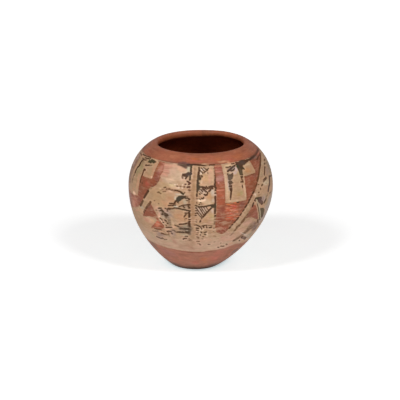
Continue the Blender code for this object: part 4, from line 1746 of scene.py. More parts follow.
    def red_tints(self) -> list[Wash]:
        """Return the changes of the red paint.

        Returns:
            Washes of the red bars and the red field.
        """
        bar = washes(
            Layer.RED,
            ((172, 100, 86), (16.5, 141, 4, 2.4, 0.9)),
            ((208, 140, 118), (16, 137.9, 4, 0.9, 0.9), (18.6, 77.4, 4, 0.8, 0.5),
             (22, 91.4, 2, 1.4, 0.5)),
            ((158, 112, 82), (16.5, 135.9, 4, 0.9, 0.75), (25, 80.6, 4, 2, 0.5)),
            ((190, 136, 124), (16, 130.6, 3.6, 3.6, 0.9)),
            ((232, 162, 150), (14.6, 126.2, 0.8, 1, 0.9)),
            ((226, 152, 124), (16, 118.7, 3, 0.8, 0.9), (20.4, 97.4, 1.8, 0.9, 1),
             (17.4, 112.6, 1.1, 0.9, 0.6)),
            ((180, 98, 68), (16.6, 123, 2.6, 3, 0.6), (15.6, 112.6, 3.4, 5.2, 0.9),
             (15.8, 105.6, 3, 3, 0.8)),
            ((152, 86, 68), (16, 98.4, 3.2, 4, 0.8), (16, 90.4, 3.2, 4, 0.8),
             (18, 74, 3.4, 3, 0.8)),
            ((192, 98, 66), (25, 97.4, 6, 5, 0.95), (26, 90, 5, 4, 0.6)),
            ((140, 88, 74), (34, 100.6, 2.4, 4.4, 0.8), (22.4, 74, 2, 1.5, 0.7),
             (51, 127, 4, 3, 0.6)))
        right = washes(
            Layer.RED,
            ((168, 100, 76), (45, 126, 5, 3, 0.85), (60, 138.4, 4, 3, 0.8),
             (41, 112, 2.2, 5, 0.8)),
            ((150, 90, 60), (46.6, 120.4, 5, 4, 0.8)),
            ((130, 80, 50), (47, 114, 4, 4, 0.85), (58.6, 141.8, 4, 1.4, 0.5)),
            ((138, 82, 64), (55.6, 132, 2.4, 5, 0.7), (66, 140, 4, 1.3, 0.5)),
            ((112, 84, 78), (63, 144.7, 8, 2, 1)),
            ((176, 108, 88), (77, 145.2, 7, 1.3, 0.8)))
        left = washes(
            Layer.RED,
            ((170, 104, 68), (-42, 140, 1.7, 5, 0.8), (-40.6, 136.6, 2, 3, 0.6)),
            ((204, 142, 122), (-37.4, 138, 2.6, 6, 0.85)),
            ((168, 104, 96), (-38.6, 133, 2.6, 2.6, 0.8), (-38, 129.6, 1.5, 0.9, 0.8)),
            ((146, 88, 80), (-38.8, 127.4, 2.8, 2.4, 0.65), (-57, 99.6, 3, 3, 0.6)),
            ((116, 66, 52), (-37, 124.2, 1.5, 1.4, 0.95), (-39, 121, 1.7, 0.9, 0.9),
             (-41.4, 118.6, 2.4, 1.3, 0.8), (-46.4, 112.6, 2, 1.4, 0.6)),
            ((150, 96, 70), (-42, 127, 1.4, 1.2, 0.7), (-50, 124.6, 6, 0.9, 0.6)),
            ((184, 100, 78), (-48, 119, 2.6, 3, 0.85)),
            ((138, 88, 62), (-54.8, 115, 2.8, 8, 0.65)),
            ((188, 122, 98), (-66, 96, 6, 5, 0.8), (-60, 97.4, 3.4, 3.4, 0.6)),
            ((216, 152, 124), (-67.6, 90.4, 4, 4.4, 0.9)),
            ((168, 130, 120), (-77, 95, 6, 6, 0.7)))
        small = washes(
            Layer.RED,
            ((150, 94, 76), (-41, 93, 3, 4, 0.7), (52.6, 80.6, 1.6, 3, 0.7)),
            ((130, 98, 84), (-44.6, 96.8, 2.4, 3, 0.7), (42, 87, 3, 3, 0.5)),
            ((236, 134, 102), (-37, 80, 2.8, 3.8, 0.95), (-38, 75.6, 3, 1.6, 0.6)),
            ((160, 80, 50), (-33, 78, 1.8, 3, 0.8)),
            ((172, 104, 84), (49, 86, 2.6, 3, 0.85)))
        return (
            bar
            + right
            + left
            + small)

    def coat_tints(self) -> list[Wash]:
        """Return the changes of the red slip over the base and round the rim, with painted shade
        along the lip's crest.

        Returns:
            Washes of the base's slip, then of the rim's.
        """
        base = washes(
            Layer.RED,
            ((168, 116, 104), (-36, 35, 9, 8, 0.75), (33, 18, 8, 5, 0.6)),
            ((190, 112, 92), (-2, 22, 6, 4, 0.8), (24, 30, 9, 9, 0.7)),
            ((194, 118, 76), (9, 28, 7, 4, 0.75), (12, 21, 4, 3, 0.5)),
            ((146, 92, 66), (-4, 42.4, 13, 1.2, 0.9), (14, 44, 5, 1, 0.6), (41, 33, 4, 8, 0.5),
             (-18, 37, 6, 3, 0.4)),
            ((120, 98, 88), (52, 34, 5, 7, 0.8), (-57, 42, 6, 7, 0.6)),
            ((124, 92, 78), (-37, 12, 10, 3, 0.6), (30, 11, 8, 3, 0.7)))
        rim = washes(
            Layer.RED,
            ((152, 82, 58), (-68, 152, 6, 2, 0.8), (-58, 157, 7, 2, 0.5), (31, 158.4, 4, 2, 0.5),
             (-24, 148.4, 1.6, 1.2, 0.8), (57, 156, 5, 1.2, 0.5)),
            ((190, 122, 88), (-30, 153.6, 7, 2.6, 0.6), (3, 154, 5, 1.6, 0.7),
             (45, 158, 5, 1.6, 0.5)),
            ((184, 104, 60), (-6, 153.6, 5, 1.6, 0.8), (18, 152.6, 4, 2, 0.4)),
            ((186, 100, 80), (-2, 150.8, 9, 1.2, 0.75), (31, 149.8, 3, 1, 0.8),
             (14, 151, 3, 1.6, 0.5)),
            ((180, 102, 66), (43, 153, 7, 3, 0.6)),
            ((172, 118, 98), (-15, 159, 7, 2, 0.5), (-47, 160.4, 6, 1, 0.6),
             (10, 147.8, 4, 0.8, 0.5), (84, 154, 7, 5, 0.6)),
            ((210, 158, 120), (23, 148.8, 6, 1, 0.9), (28, 146.9, 1.7, 1, 1),
             (-45, 146.4, 2, 0.8, 0.7)),
            ((200, 162, 128), (4, 147.2, 5, 0.9, 0.9)),
            ((158, 104, 84), (-84, 154, 7, 5, 0.6), (72, 153, 9, 4, 0.5)),
            # Darker red along the lip's crest, front and back: painted shade where the lamps light
            # the crest.
            ((146, 90, 66), (0, 160, 36, 2.2, 0.8)))
        return (
            base
            + rim)

    def stains(self) -> list[Smear]:
        """Return soft lines: smudged paint, scratches and streaks.

        Returns:
            Smears of every layer, in the order that they are laid.
        """
        smudged = (
            smears(
                Layer.RED,
                ((140, 92, 72), (0.75, 3, -45, 146, -38, 146.2, -30, 147, -23.6, 147),
                 (0.5, 2, -8, 148, 0, 147.6), (0.5, 1.6, 13, 146.4, 26, 146.2),
                 (0.7, 2.6, 50, 145.8, 62, 146.4, 74, 147.4, 90, 148)),
                ((104, 74, 66), (0.85, 3.6, -21, 147, -16.6, 146.6, -12, 146.6),
                 (0.6, 2, -18, 148.6, -15, 148.4)))
            + smears(
                Layer.GROUND,
                ((104, 76, 62), (0.95, 3.2, -21.6, 145.6, -17, 144.2, -14, 143)),
                ((88, 64, 50), (0.95, 3.4, -19, 146, -15, 145, -11, 145.8)),
                ((128, 108, 104), (0.7, 2.6, 26, 139, 32, 141.6)),
                ((148, 128, 116), (0.8, 3.4, 24.6, 131, 24.2, 119)),
                ((126, 92, 62), (1, 6, 48.8, 75, 47, 70, 44.8, 65.4)),
                ((150, 98, 76), (0.85, 2.6, -95, 146, -80, 146.2, -66, 147, -56, 147.3)),
                ((120, 84, 58), (0.8, 5, 40.8, 61, 38, 58.8, 35.4, 57.2),
                 (0.8, 2.4, -35, 66.6, -30, 66), (0.6, 2.4, -46, 114.6, -42.4, 116)),
                ((130, 108, 76), (0.7, 2.6, -30, 66, -27, 65.4)))
            + smears(
                Layer.RED,
                ((124, 74, 48), (0.7, 1.6, 40, 129, 52, 128.8), (0.7, 3, 25, 75.6, 21.6, 72),
                 (0.8, 2.4, -46, 113.6, -42.4, 115.6)))
            + smears(
                Layer.GROUND,
                ((138, 96, 74), (0.6, 1.8, -45, 145, -36, 145, -28, 145.8)),
                ((104, 86, 68), (0.9, 3.4, -8.9, 85, -8.6, 80, -8.4, 75, -8.6, 70.6),
                 (0.45, 5, -15.6, 76.8, -8.6, 77), (0.55, 3.2, -26, 91, -25.4, 85, -25.2, 79.6),
                 (0.4, 3, -31, 94, -28, 90), (0.35, 2.4, -19, 72, -10, 72)),
                ((130, 98, 72), (0.95, 5, 58, 75, 50, 69, 44.6, 64, 40, 59.6, 35, 56.8),
                 (0.35, 2.6, 46, 111, 52, 120), (0.3, 2.4, 62, 133, 72, 139.6),
                 (0.45, 3, 45, 99, 41, 92, 36.4, 82, 32.4, 75, 29, 67),
                 (0.5, 2.4, 60, 118, 66, 120), (0.5, 3, 73, 118, 68, 107)))
            + smears(
                Layer.RED,
                ((118, 74, 48),
                 (0.4, 2.4, 53, 121.4, 49, 115.6, 45, 110, 41, 104.6, 37.4, 98.4, 33.2, 90.6, 29,
                  83, 25, 76), (0.5, 2.4, 54, 124, 60, 131, 68, 137.6, 76, 141))))
        rosy = (
            smears(
                Layer.GROUND,
                ((210, 146, 124), (0.85, 2.2, -38, 136.8, -29, 136.4),
                 (0.7, 1.6, -37, 142.4, -28, 142.2), (0.75, 2.4, -38, 132.8, -29.6, 132.4)),
                ((186, 126, 102), (0.8, 1.8, -38, 139.6, -30, 139.2),
                 (0.75, 1.6, -37, 134.6, -28.6, 134.8), (0.6, 1.4, -37, 130.6, -29, 130.6),
                 (0.8, 1.8, -37.4, 144.2, -31, 144.2), (0.5, 2.6, -36.6, 128, -34, 126.8)))
            + smears(
                Layer.RED,
                ((206, 136, 116), (0.7, 1.2, -41, 144.2, -35, 144),
                 (0.6, 1.6, -40, 136.8, -35, 136.6)),
                ((150, 90, 72), (0.7, 1.1, -42.6, 142.4, -38, 142.8),
                 (0.5, 1.2, -42, 132, -38, 131.4)),
                ((204, 148, 118), (0.8, 1.1, 13, 144.3, 20, 144.2), (0.6, 1, -76, 101, -68, 103),
                 (0.6, 1.1, -82, 92, -70, 97, -60, 99.4)))
            + smears(
                Layer.GROUND,
                ((212, 150, 124), (0.6, 1.2, -80, 101, -70, 104.4),
                 (0.5, 1.4, -66, 84, -56, 88.6))))
        scratched = (
            smears(
                Layer.GROUND,
                ((214, 194, 176),
                 (0.8, 1, 36, 69, 42.4, 63.8, 46.6, 60.8, 50.4, 57.8, 55, 54.4, 60, 51.2),
                 (0.7, 0.9, 44.8, 62.6, 48.6, 60.4, 52.6, 57.2, 57.2, 54, 61.6, 51.6)),
                ((172, 166, 136),
                 (0.85, 1.4, 48.4, 102.4, 50.4, 99, 52.8, 94, 55, 88.6, 57.6, 83, 60, 78.6, 63,
                  75.6)))
            + smears(
                Layer.RED,
                ((172, 166, 136), (0.8, 1.2, 51, 97.6, 53, 93, 55.2, 87.8, 57.8, 82)))
            + smears(
                Layer.GROUND,
                ((206, 182, 156), (0.7, 1.1, 2.4, 121.5, 5.2, 118.6),
                 (0.7, 1.1, 0.2, 121, 3.6, 116.2), (0.7, 1.1, -1.2, 120.2, 2.6, 113.9)))
            + washes(
                Layer.GROUND,
                ((160, 120, 86), (-6, 110, 2.6, 30, 0.6)),
                ((206, 160, 136), (27, 63, 7, 6, 0.7), (44, 77, 6, 4, 0.7), (38, 69, 5, 4, 0.6),
                 (32, 49.6, 6, 2.6, 0.6)),
                ((168, 150, 128), (55, 57, 6, 5, 0.7)))
            + smears(
                Layer.GROUND,
                ((222, 182, 152), (0.6, 0.9, -34, 79.6, -30, 72.6),
                 (0.6, 0.9, -32.4, 79.6, -29, 74), (0.5, 0.9, -31, 71.6, -27, 66.4)))
            + smears(
                Layer.RED,
                ((194, 140, 116), (0.5, 1, 11, 77, 17, 71.4), (0.5, 1, 14.6, 78, 20, 71),
                 (0.7, 1, 17, 79, 22.6, 72.6), (0.6, 0.9, 13.4, 81.6, 18, 77)),
                ((206, 138, 112), (0.55, 0.9, -36, 84.6, -33, 78.6, -31, 74.6),
                 (0.5, 0.9, -34.6, 82, -32, 76))))
        return (
            smudged
            + rosy
            + scratched
            + self.streaks())

    def streaks(self) -> list[Smear]:
        """Return the fine pale streaks across the red field and the slanting cream band.

        Returns:
            Smears of the red field, then of the cream band.
        """
        made = []
        dice = np.random.default_rng(12)
        shade, darkest, palest = (132, 66, 48), (228, 108, 76), (255, 150, 120)
        for slant in np.arange(86.0, 105.0, 1.15):
            start = 19.0 + dice.uniform(0.0, 5.0)
            end = start + dice.uniform(4.0, 9.0)
            fall = dice.uniform(0.6, 1.6)
            tone = tuple(int(part) for part in dice.uniform(darkest, palest))
            made += smears(Layer.RED, (
                shade, (0.8, 0.9, start, slant + fall + 0.6, end, slant + 0.6 - fall)))
            made += smears(Layer.RED, (
                tone, (dice.uniform(0.65, 1.0), 0.7, start, slant + fall, (start + end) / 2.0,
                       slant + 0.4, end, slant - fall)))
        band_start, band_slant, band_climb = 24.0, 72.0, 1.62
        tones = ((216, 178, 146), (160, 126, 96))
        for turn in np.arange(band_start, 60.0, 1.3):
            middle = band_slant + band_climb * (turn - band_start) + dice.uniform(-1.5, 1.5)
            tone = tones[dice.choice((0, 1))]
            made += smears(Layer.GROUND, (
                tone, (dice.uniform(0.3, 0.6), 0.9, turn - 2.2, middle + 3.6, turn + 1.6,
                       middle - 2.0)))
        return made

    def soft_marks(self) -> list[Wash | Smear]:
        """Return every soft change of colour, in the order that they are laid."""
        return [*self.cream_tints(), *self.edge_tints(), *self.red_tints(), *self.coat_tints(),
                *self.ink_tints(), *self.stains()]

    def scratches(self) -> list[Stroke]:
        """Return the scratches through the paint; the load says how much of it is gone."""
        return strokes(
            (0.9, 0.7, 36, 69, 42.4, 63.8, 46.6, 60.8, 50.4, 57.8, 55, 54.4, 60, 51.2),
            (0.8, 0.6, 44.8, 62.6, 48.6, 60.4, 52.6, 57.2, 57.2, 54, 61.6, 51.6),
            (0.9, 0.9, 48.4, 102.4, 50.4, 99, 52.8, 94, 55, 88.6, 57.6, 83, 60, 78.6, 63, 75.6),
            (0.7, 0.6, -17, 74.7, -9, 74.9), (0.6, 0.5, -33, 92.2, -26.6, 94.6),
            (0.6, 0.5, -32.6, 89.4, -27, 88.8), (0.6, 0.5, -12.4, 90.2, -8, 89.8))

    def wear(self) -> list[tuple[Pair, Pair, float]]:
        """Return where the wall is worn: the place, the reach and the strength of each patch."""
        rows = ((0, 80, 46, 28, 0.75), (4, 112, 10, 8, 0.45), (26, 92, 12, 14, 0.55),
                (-30, 84, 14, 16, 0.7), (16, 130, 5, 16, 0.45), (-30, 138, 12, 10, 0.45),
                (-66, 94, 16, 10, 0.45), (44, 70, 16, 16, 0.6))
        return [(row[:2], row[2:4], row[4]) for row in rows]


@dataclass
class Canvas:
    """What the brush leaves at each corner of a mesh, with edges as signed distances in mm.

    The plain colours are given from slant to slant and blend between them. A soft mark is
    full in its middle, fades towards its edge, both as shares of its reach, and wanders with
    the ripples. The depths darken the red and the ink once all marks are laid.
    """

    turn: np.ndarray
    slant: np.ndarray
    wall: WallForm
    reach: float = 6.0
    plain_wear: float = 0.25
    joined: float = 0.15
    scratch_fade: float = 0.4
    oval_edge: float = 1.5
    oval_fade: float = 1.2
    oval_wander: float = 0.30
    line_edge: float = 1.4
    line_fade: float = 0.9
    line_wander: float = 0.25
    blend_wander: float = 1.2
    ripple_waves: tuple[int, ...] = (4, 9, 17, 31, 52)
    ripple_pitch: Pair = (0.5, 1.6)
    ripple_size: float = 2.6
    # The cream is lighter below slant 58: painted light that makes up for the less lamp light on
    # the lower wall, which faces down.
    creams: tuple[tuple[float, Colour], ...] = (
        (58.0, fired(203, 169, 142)), (72.0, fired(184, 147, 114)))
    reds: tuple[tuple[float, Colour], ...] = (
        (4.0, fired(102, 70, 58)), (8.0, fired(131, 95, 78)), (13.0, fired(174, 120, 98)),
        (24.0, fired(181, 120, 96)), (56.0, fired(174, 116, 93)), (62.0, fired(155, 91, 64)),
        (145.0, fired(155, 91, 64)), (147.6, fired(166, 99, 72)))
    red_depths: tuple[tuple[float, Colour], ...] = (
        (57.0, WHITE), (63.0, (0.88, 0.80, 0.78)), (145.0, (0.88, 0.80, 0.78)), (148.0, WHITE))
    ink_depth: Colour = (0.87, 0.77, 0.67)
    ink_tone: Colour = fired(78, 48, 26)

    def __post_init__(self) -> None:
        """Start from bare slip."""
        count = len(self.turn)
        self.black = np.full(count, self.reach)
        self.load = np.zeros(count)
        self.edge = np.full(count, self.reach)
        self.worn = np.full(count, self.plain_wear)
        self.ripples = [self._ripple(seed) for seed in (3, 8)]
        self.tints = {Layer.GROUND: self._blend(self.creams), Layer.RED: self._blend(self.reds),
                      Layer.INK: np.tile(self.ink_tone, (count, 1))}

    def _blend(self, stops: Sequence[tuple[float, Colour]]) -> np.ndarray:
        """Blend colours from slant to slant.

        Args:
            stops: Slants in mm, each with its colour.

        Returns:
            The colour at each corner.
        """
        slants, colours = zip(*stops)
        wandering = self.slant + self.blend_wander * self.ripples[0]
        return np.column_stack([np.interp(wandering, slants, part) for part in zip(*colours)])

    def _ripple(self, seed: int) -> np.ndarray:
        """Make a soft wandering value about nought.

        Args:
            seed: Seed of its waves.

        Returns:
            The value at each corner.
        """
        dice = np.random.default_rng(seed)
        total = np.zeros(len(self.turn))
        for waves in self.ripple_waves:
            pitch = dice.uniform(*self.ripple_pitch) * 360.0 / waves
            total += np.sin(np.radians(waves * self.turn) + dice.uniform(0.0, math.tau)
                            + math.tau * self.slant / pitch) / self.ripple_size
        return total

    def _aside(self, turn: float) -> np.ndarray:
        """Return how many degrees each corner lies from a turn, which comes round twice."""
        return (self.turn - turn + 90.0) % 180.0 - 90.0

    def _around(self, path: np.ndarray) -> tuple[np.ndarray, np.ndarray, np.ndarray]:
        """Find the corners near a mark.

        Args:
            path: Corner points of the mark, one per row.

        Returns:
            Indices of the corners, their places in mm about the mark's middle, and the mark's.
        """
        middle = (path.min(axis=0) + path.max(axis=0)) / 2.0
        stretch = math.radians(1.0) * float(self.wall.radius_at(middle[1] * MM)) / MM
        aside = self._aside(middle[0]) * stretch
        ahead = self.slant - middle[1]
        half = (path.max(axis=0) - path.min(axis=0)) / 2.0 * (stretch, 1.0) + self.reach
        near = np.flatnonzero((np.abs(aside) < half[0]) & (np.abs(ahead) < half[1]))
        return near, np.column_stack([aside[near], ahead[near]]), (path - middle) * (stretch, 1.0)

    def _along(self, path: Sequence[Pair]) -> tuple[np.ndarray, np.ndarray]:
        """Find the corners near a line.

        Args:
            path: Corner points of the line.

        Returns:
            Indices of the corners and their distances in mm from the line.
        """
        near, spots, places = self._around(np.array(path))
        return near, line_gap(spots, places[:-1], places[1:])

    def _in_oval(self, place: Pair, reach: Pair) -> tuple[np.ndarray, np.ndarray]:
        """Find the corners in a soft oval.

        Args:
            place: Its middle.
            reach: Its half width in degrees and half height in mm.

        Returns:
            Indices of the corners, and how deep in it each one lies, 0 to 1.
        """
        aside = self._aside(place[0]) / reach[0] + self.oval_wander * self.ripples[0]
        ahead = (self.slant - place[1]) / reach[1] + self.oval_wander * self.ripples[1]
        out = np.hypot(aside, ahead)
        near = np.flatnonzero(out < self.oval_edge)
        return near, np.clip((self.oval_edge - out[near]) / self.oval_fade, 0.0, 1.0)

    def _lay_black(self, near: np.ndarray, gap: np.ndarray, load: float) -> None:
        """Join a black mark to what is there, and let the fuller load win where both lie.

        Args:
            near: Indices of the corners near the mark.
            gap: Their distances in mm from the mark's edge.
            load: Load of the mark.
        """
        before = self.black[near]
        held = self.load[near]
        held = np.where((gap < before) & (before > self.joined), load, held)
        self.load[near] = np.where(gap < self.joined, np.maximum(held, load), held)
        self.black[near] = np.minimum(before, gap)

    def _tint(self, mark: Wash | Smear, near: np.ndarray, share: np.ndarray) -> None:
        """Blend the colour of a soft mark into its layer.

        Args:
            mark: The mark.
            near: Indices of the corners near it.
            share: How deep in it each one lies, 0 to 1.
        """
        share = (share * share * (3.0 - 2.0 * share) * mark.strength)[:, None]
        target = self.tints[mark.layer]
        target[near] = target[near] * (1.0 - share) + np.array(mark.colour) * share

    def lay_soft(self, mark: Wash | Smear) -> None:
        """Lay one soft change of colour.

        Args:
            mark: A wash in an oval or a smear along a line.
        """
        if isinstance(mark, Wash):
            self._tint(mark, *self._in_oval(mark.place, mark.reach))
            return
        near, gap = self._along(mark.path)
        gap = gap / (mark.width / 2.0) + self.line_wander * self.ripples[1][near]
        self._tint(mark, near, np.clip((self.line_edge - gap) / self.line_fade, 0.0, 1.0))

    def lay_field(self, mark: Field) -> None:
        """Lay one filled shape in its ink.

        Args:
            mark: The shape.
        """
        near, spots, path = self._around(np.array(mark.outline))
        ends = np.roll(path, -1, axis=0)
        gap = line_gap(spots, path, ends)
        gap[enclosed(spots, path, ends)] *= -1.0
        if mark.ink is Ink.BLACK:
            self._lay_black(near, gap, mark.load)
        elif mark.ink is Ink.RED:
            self.edge[near] = np.minimum(self.edge[near], gap)
        else:
            self.edge[near] = np.maximum(self.edge[near], -gap)

    def lay_stroke(self, mark: Stroke) -> None:
        """Lay one stroke in black."""
        near, gap = self._along(mark.path)
        self._lay_black(near, gap - mark.width / 2.0, mark.load)

    def scratch(self, mark: Stroke) -> None:
        """Scratch the black away along a line.

        Args:
            mark: The scratch.
        """
        near, gap = self._along(mark.path)
        share = np.clip(1.0 - (gap - mark.width / 2.0) / self.scratch_fade, 0.0, 1.0)
        self.load[near] *= 1.0 - mark.load * share

    def paint(self, work: Brushwork) -> None:
        """Lay the whole pattern.

        Args:
            work: The marks.
        """
        for marks, lay in ((work.soft_marks(), self.lay_soft), (work.fields(), self.lay_field),
                           (work.strokes(), self.lay_stroke), (work.scratches(), self.scratch)):
            for mark in marks:
                lay(mark)
        for place, reach, strength in work.wear():
            near, share = self._in_oval(place, reach)
            self.worn[near] = np.maximum(self.worn[near], share * strength)
        self.tints[Layer.RED] *= self._blend(self.red_depths)
        self.tints[Layer.INK] *= np.array(self.ink_depth)

    def keep(self, mesh: Mesh) -> None:
        """Keep every value under the name that the finishes read.

        Args:
            mesh: Mesh whose corners the values belong to.
        """
        for name, values in ((Kept.SLANT, self.slant), (Kept.BLACK_EDGE, self.black),
                             (Kept.BLACK_LOAD, self.load), (Kept.RED_EDGE, self.edge),
                             (Kept.WEAR, self.worn)):
            keep_values(mesh, name, values)
        for layer, colours in self.tints.items():
            keep_colours(mesh, layer, colours)


def line_gap(spots: np.ndarray, starts: np.ndarray, ends: np.ndarray) -> np.ndarray:
    """Find how far spots lie from the nearest of several line pieces.

    Args:
        spots: The spots, one per row.
        starts: Where each line piece starts.
        ends: Where each line piece ends.

    Returns:
        The distance of each spot.
    """
    best = np.full(len(spots), np.inf)
    for start, end in zip(starts, ends):
        along = end - start
        share = np.clip((spots - start) @ along / max(float(along @ along), 1e-9), 0.0, 1.0)
        off = spots - start - share[:, None] * along
        best = np.minimum(best, np.hypot(off[:, 0], off[:, 1]))
    return best


def enclosed(spots: np.ndarray, starts: np.ndarray, ends: np.ndarray) -> np.ndarray:
    """Find which spots lie inside a closed outline.

    Args:
        spots: The spots, one per row.
        starts: Where each side of the outline starts.
        ends: Where each side ends.

    Returns:
        Whether each spot lies inside.
    """
    inside = np.zeros(len(spots), dtype=bool)
    for start, end in zip(starts, ends):
        crossed = (start[1] > spots[:, 1]) != (end[1] > spots[:, 1])
        rise = end[1] - start[1] if end[1] != start[1] else 1e-9
        meets = start[0] + (spots[:, 1] - start[1]) * (end[0] - start[0]) / rise
        inside ^= crossed & (spots[:, 0] < meets)
    return inside


# ---- The clay body ----


@dataclass
class ClayBody:
    """Base pat, coils and rim coil under the slip."""

    turning: Turning
    coats: CoatSizes
    effects: Effects
    pat_height: float = 0.024
    coil_lean: float = 0.003
    coil_count: int = 6
    ridge: float = 0.00022
    foot_rings: int = 14
    foot_rounding: float = 0.0003
    lip_steps: int = 10
    columns: int = 192
    stride: float = 0.0012
    inside: ClayFinish = ClayFinish((0.400, 0.070, 0.016), (0.085, 0.010, 0.003), 0.70, 0.78)
    underside: ClayFinish = ClayFinish((0.30, 0.155, 0.095), (0.075, 0.045, 0.032), 0.45, 0.82)

    def __post_init__(self) -> None:
        """Find the slants of the joints, from the base pat up to the rim coil."""
        self.wall = self.turning.wall
        first = self.wall.slant_at(self.pat_height)
        pitch = (self.wall.length - first) / (self.coil_count + 1)
        self.joints = [first + pitch * index for index in range(self.coil_count + 1)]

    def joint_slant(self, middle: float, depth: float) -> float:
        """Return the slant of a leaning joint at one depth."""
        return middle + self.coil_lean * (0.5 - depth / self.wall.thickness)

    def inner_run(self, high: float, low: float) -> list[Pair]:
        """Follow the inside of one coil, which swells a little between its joints.

        Args:
            high: Slant of the upper joint.
            low: Slant of the lower joint.

        Returns:
            Section points as (radius, height), from the top down.
        """
        top = self.joint_slant(high, self.wall.thickness)
        foot = self.joint_slant(low, self.wall.thickness)
        count = max(2, math.ceil(abs(top - foot) / self.stride))
        made = []
        for share in np.linspace(0.0, 1.0, count + 1):
            swell = self.ridge * (1.0 - (2.0 * share - 1.0) ** 4)
            made.append(self.wall.at(top + (foot - top) * float(share),
                                     self.wall.thickness - self.ridge + swell))
        return made

    def add(self, name: str, section: Sequence[Pair], material: Material,
            closed: bool = True) -> None:
        """Turn and finish one piece of clay.

        Args:
            name: CAD node that it replaces.
            section: Corner points as (radius, height).
            material: Its material.
            closed: Whether the section is a loop.
        """
        piece = self.turning.piece(f"{name}_clay", section, self.columns, closed)
        self.turning.complete(piece, material, Slot.BARE_CLAY, name)

    def add_pat(self, material: Material) -> None:
        """Build the moulded dish with its flat foot.

        Args:
            material: Its material.
        """
        wall, joint, cover = self.wall, self.joints[0], self.coats.cover
        bare = wall.slant_at(self.coats.bare_height)
        rings = np.linspace(0.0, wall.foot_radius, self.foot_rings)
        section = [(float(radius), 0.0) for radius in rings]
        section += wall.run(self.foot_rounding, bare, 0.0, self.stride / 4.0)
        section += wall.run(bare, self.joint_slant(joint, cover), cover, self.stride)
        section += wall.run(self.joint_slant(joint, wall.thickness), 0.0, wall.thickness,
                            self.stride)
        section += [(float(radius), wall.thickness) for radius in rings[::-1][1:]]
        self.add("base_pat", section, material, closed=False)

    def add_coil(self, index: int, material: Material) -> None:
        """Build one coil between two joints.

        Args:
            index: Number of the coil from below, from nought.
            material: Its material.
        """
        low, high = self.joints[index:index + 2]
        cover = self.coats.cover
        outer = self.wall.run(self.joint_slant(low, cover), self.joint_slant(high, cover), cover,
                              self.stride * 3.0)
        self.add(f"coil_{index + 1}", outer + self.inner_run(high, low), material)

    def add_rim(self, material: Material) -> None:
        """Build the last coil, rounded over into the lip.

        Args:
            material: Its material.
        """
        wall, low, cover = self.wall, self.joints[-1], self.coats.cover
        end = wall.length - self.coats.inner_run
        section = wall.run(self.joint_slant(low, cover), wall.length, cover, self.stride * 2.0)
        section += wall.lip(cover, self.lip_steps)
        section += wall.run(wall.length, end, wall.thickness - cover, self.stride)
        section += wall.run(end, self.joint_slant(low, wall.thickness), wall.thickness,
                            self.stride)
        self.add("rim_coil", section, material)

    def build(self) -> None:
        """Build and dress every piece of clay."""
        smoked = self.inside.material("smoked_clay", self.effects)
        self.add_pat(self.underside.material("worn_foot_clay", self.effects))
        for index in range(self.coil_count):
            self.add_coil(index, smoked)
        self.add_rim(smoked)


# ---- The slip coats ----


@dataclass
class RedCoats:
    """Coats of red slip round the base and over the lip."""

    turning: Turning
    coats: CoatSizes
    effects: Effects
    columns: int = 540
    stride: float = 0.0007
    lip_steps: int = 16
    # Painted shade of the mouth: the red darkens by this colour over this depth below the lip's
    # outer face.
    mouth_shade_depth: float = 0.0024
    mouth_shade: Colour = (0.94, 0.79, 0.62)
    base_red: RedSlipFinish = RedSlipFinish(fired(176, 112, 85), fired(196, 146, 120))
    rim_red: RedSlipFinish = RedSlipFinish(fired(174, 104, 74), fired(196, 140, 112))

    def mark(self, mesh: Mesh) -> None:
        """Find the turn and slant of every corner, lay what the brush leaves there, and darken the
        red inside the lip as painted shade of the mouth.

        Args:
            mesh: Mesh of the coat before the lean.
        """
        wall, places = self.turning.wall, coordinates(mesh)
        tree = KDTree(len(wall.points))
        for index, (radius, height) in enumerate(wall.points):
            tree.insert((radius, height, 0.0), index)
        tree.balance()
        slants = [wall.slants[tree.find((radius, height, 0.0))[1]]
                  for radius, height in zip(reach_of(places), places[:, 2])]
        canvas = Canvas(turn_of(places), np.array(slants) / MM, wall)
        canvas.paint(Brushwork())
        # Painted shade: darken the red inside the lip, where the mouth falls into shadow.
        mouth = np.clip(wall.sunk(places) / self.mouth_shade_depth, 0.0, 1.0)
        mouth *= places[:, 2] > wall.belly_height
        canvas.tints[Layer.RED] *= 1.0 - mouth[:, None] * (1.0 - np.array(self.mouth_shade))
        canvas.keep(mesh)

    def add(self, name: str, section: Sequence[Pair], node: str, material: Material) -> None:
        """Turn and finish one coat.

        Args:
            name: Name of the piece.
            section: Corner points as (radius, height).
            node: CAD node that it replaces.
            material: Its material.
        """
        piece = self.turning.piece(name, section, self.columns)
        self.mark(piece.data)
        self.turning.complete(piece, material, Slot.RED_SLIP, node)

    def build(self) -> None:
        """Build both coats."""
        wall, coats = self.turning.wall, self.coats
        base = self.base_red.material("base_red_slip", self.effects)
        rim = self.rim_red.material("rim_red_slip", self.effects)
        bare, top = wall.slant_at(coats.bare_height) + coats.gap, coats.base_band - coats.seam
        section = wall.run(bare, top, 0.0, self.stride)
        section += wall.run(top, bare, coats.slip, self.stride * 4.0)
        self.add("base_red_coat", section, "base_red_slip", base)
        low, end = wall.length - coats.rim_band, wall.length - coats.inner_run
        section = wall.run(low, wall.length, 0.0, self.stride) + wall.lip(0.0, self.lip_steps)
        section += wall.run(wall.length, end, wall.thickness, self.stride)
        section += wall.run(end, wall.length, wall.thickness - coats.slip, self.stride * 2.0)
        section += reversed(wall.lip(coats.slip, self.lip_steps // 2))
        section += wall.run(wall.length, low, coats.slip, self.stride * 3.0)
        self.add("rim_red_coat", section, "rim_red_slip", rim)


# ---- The painted wall ----


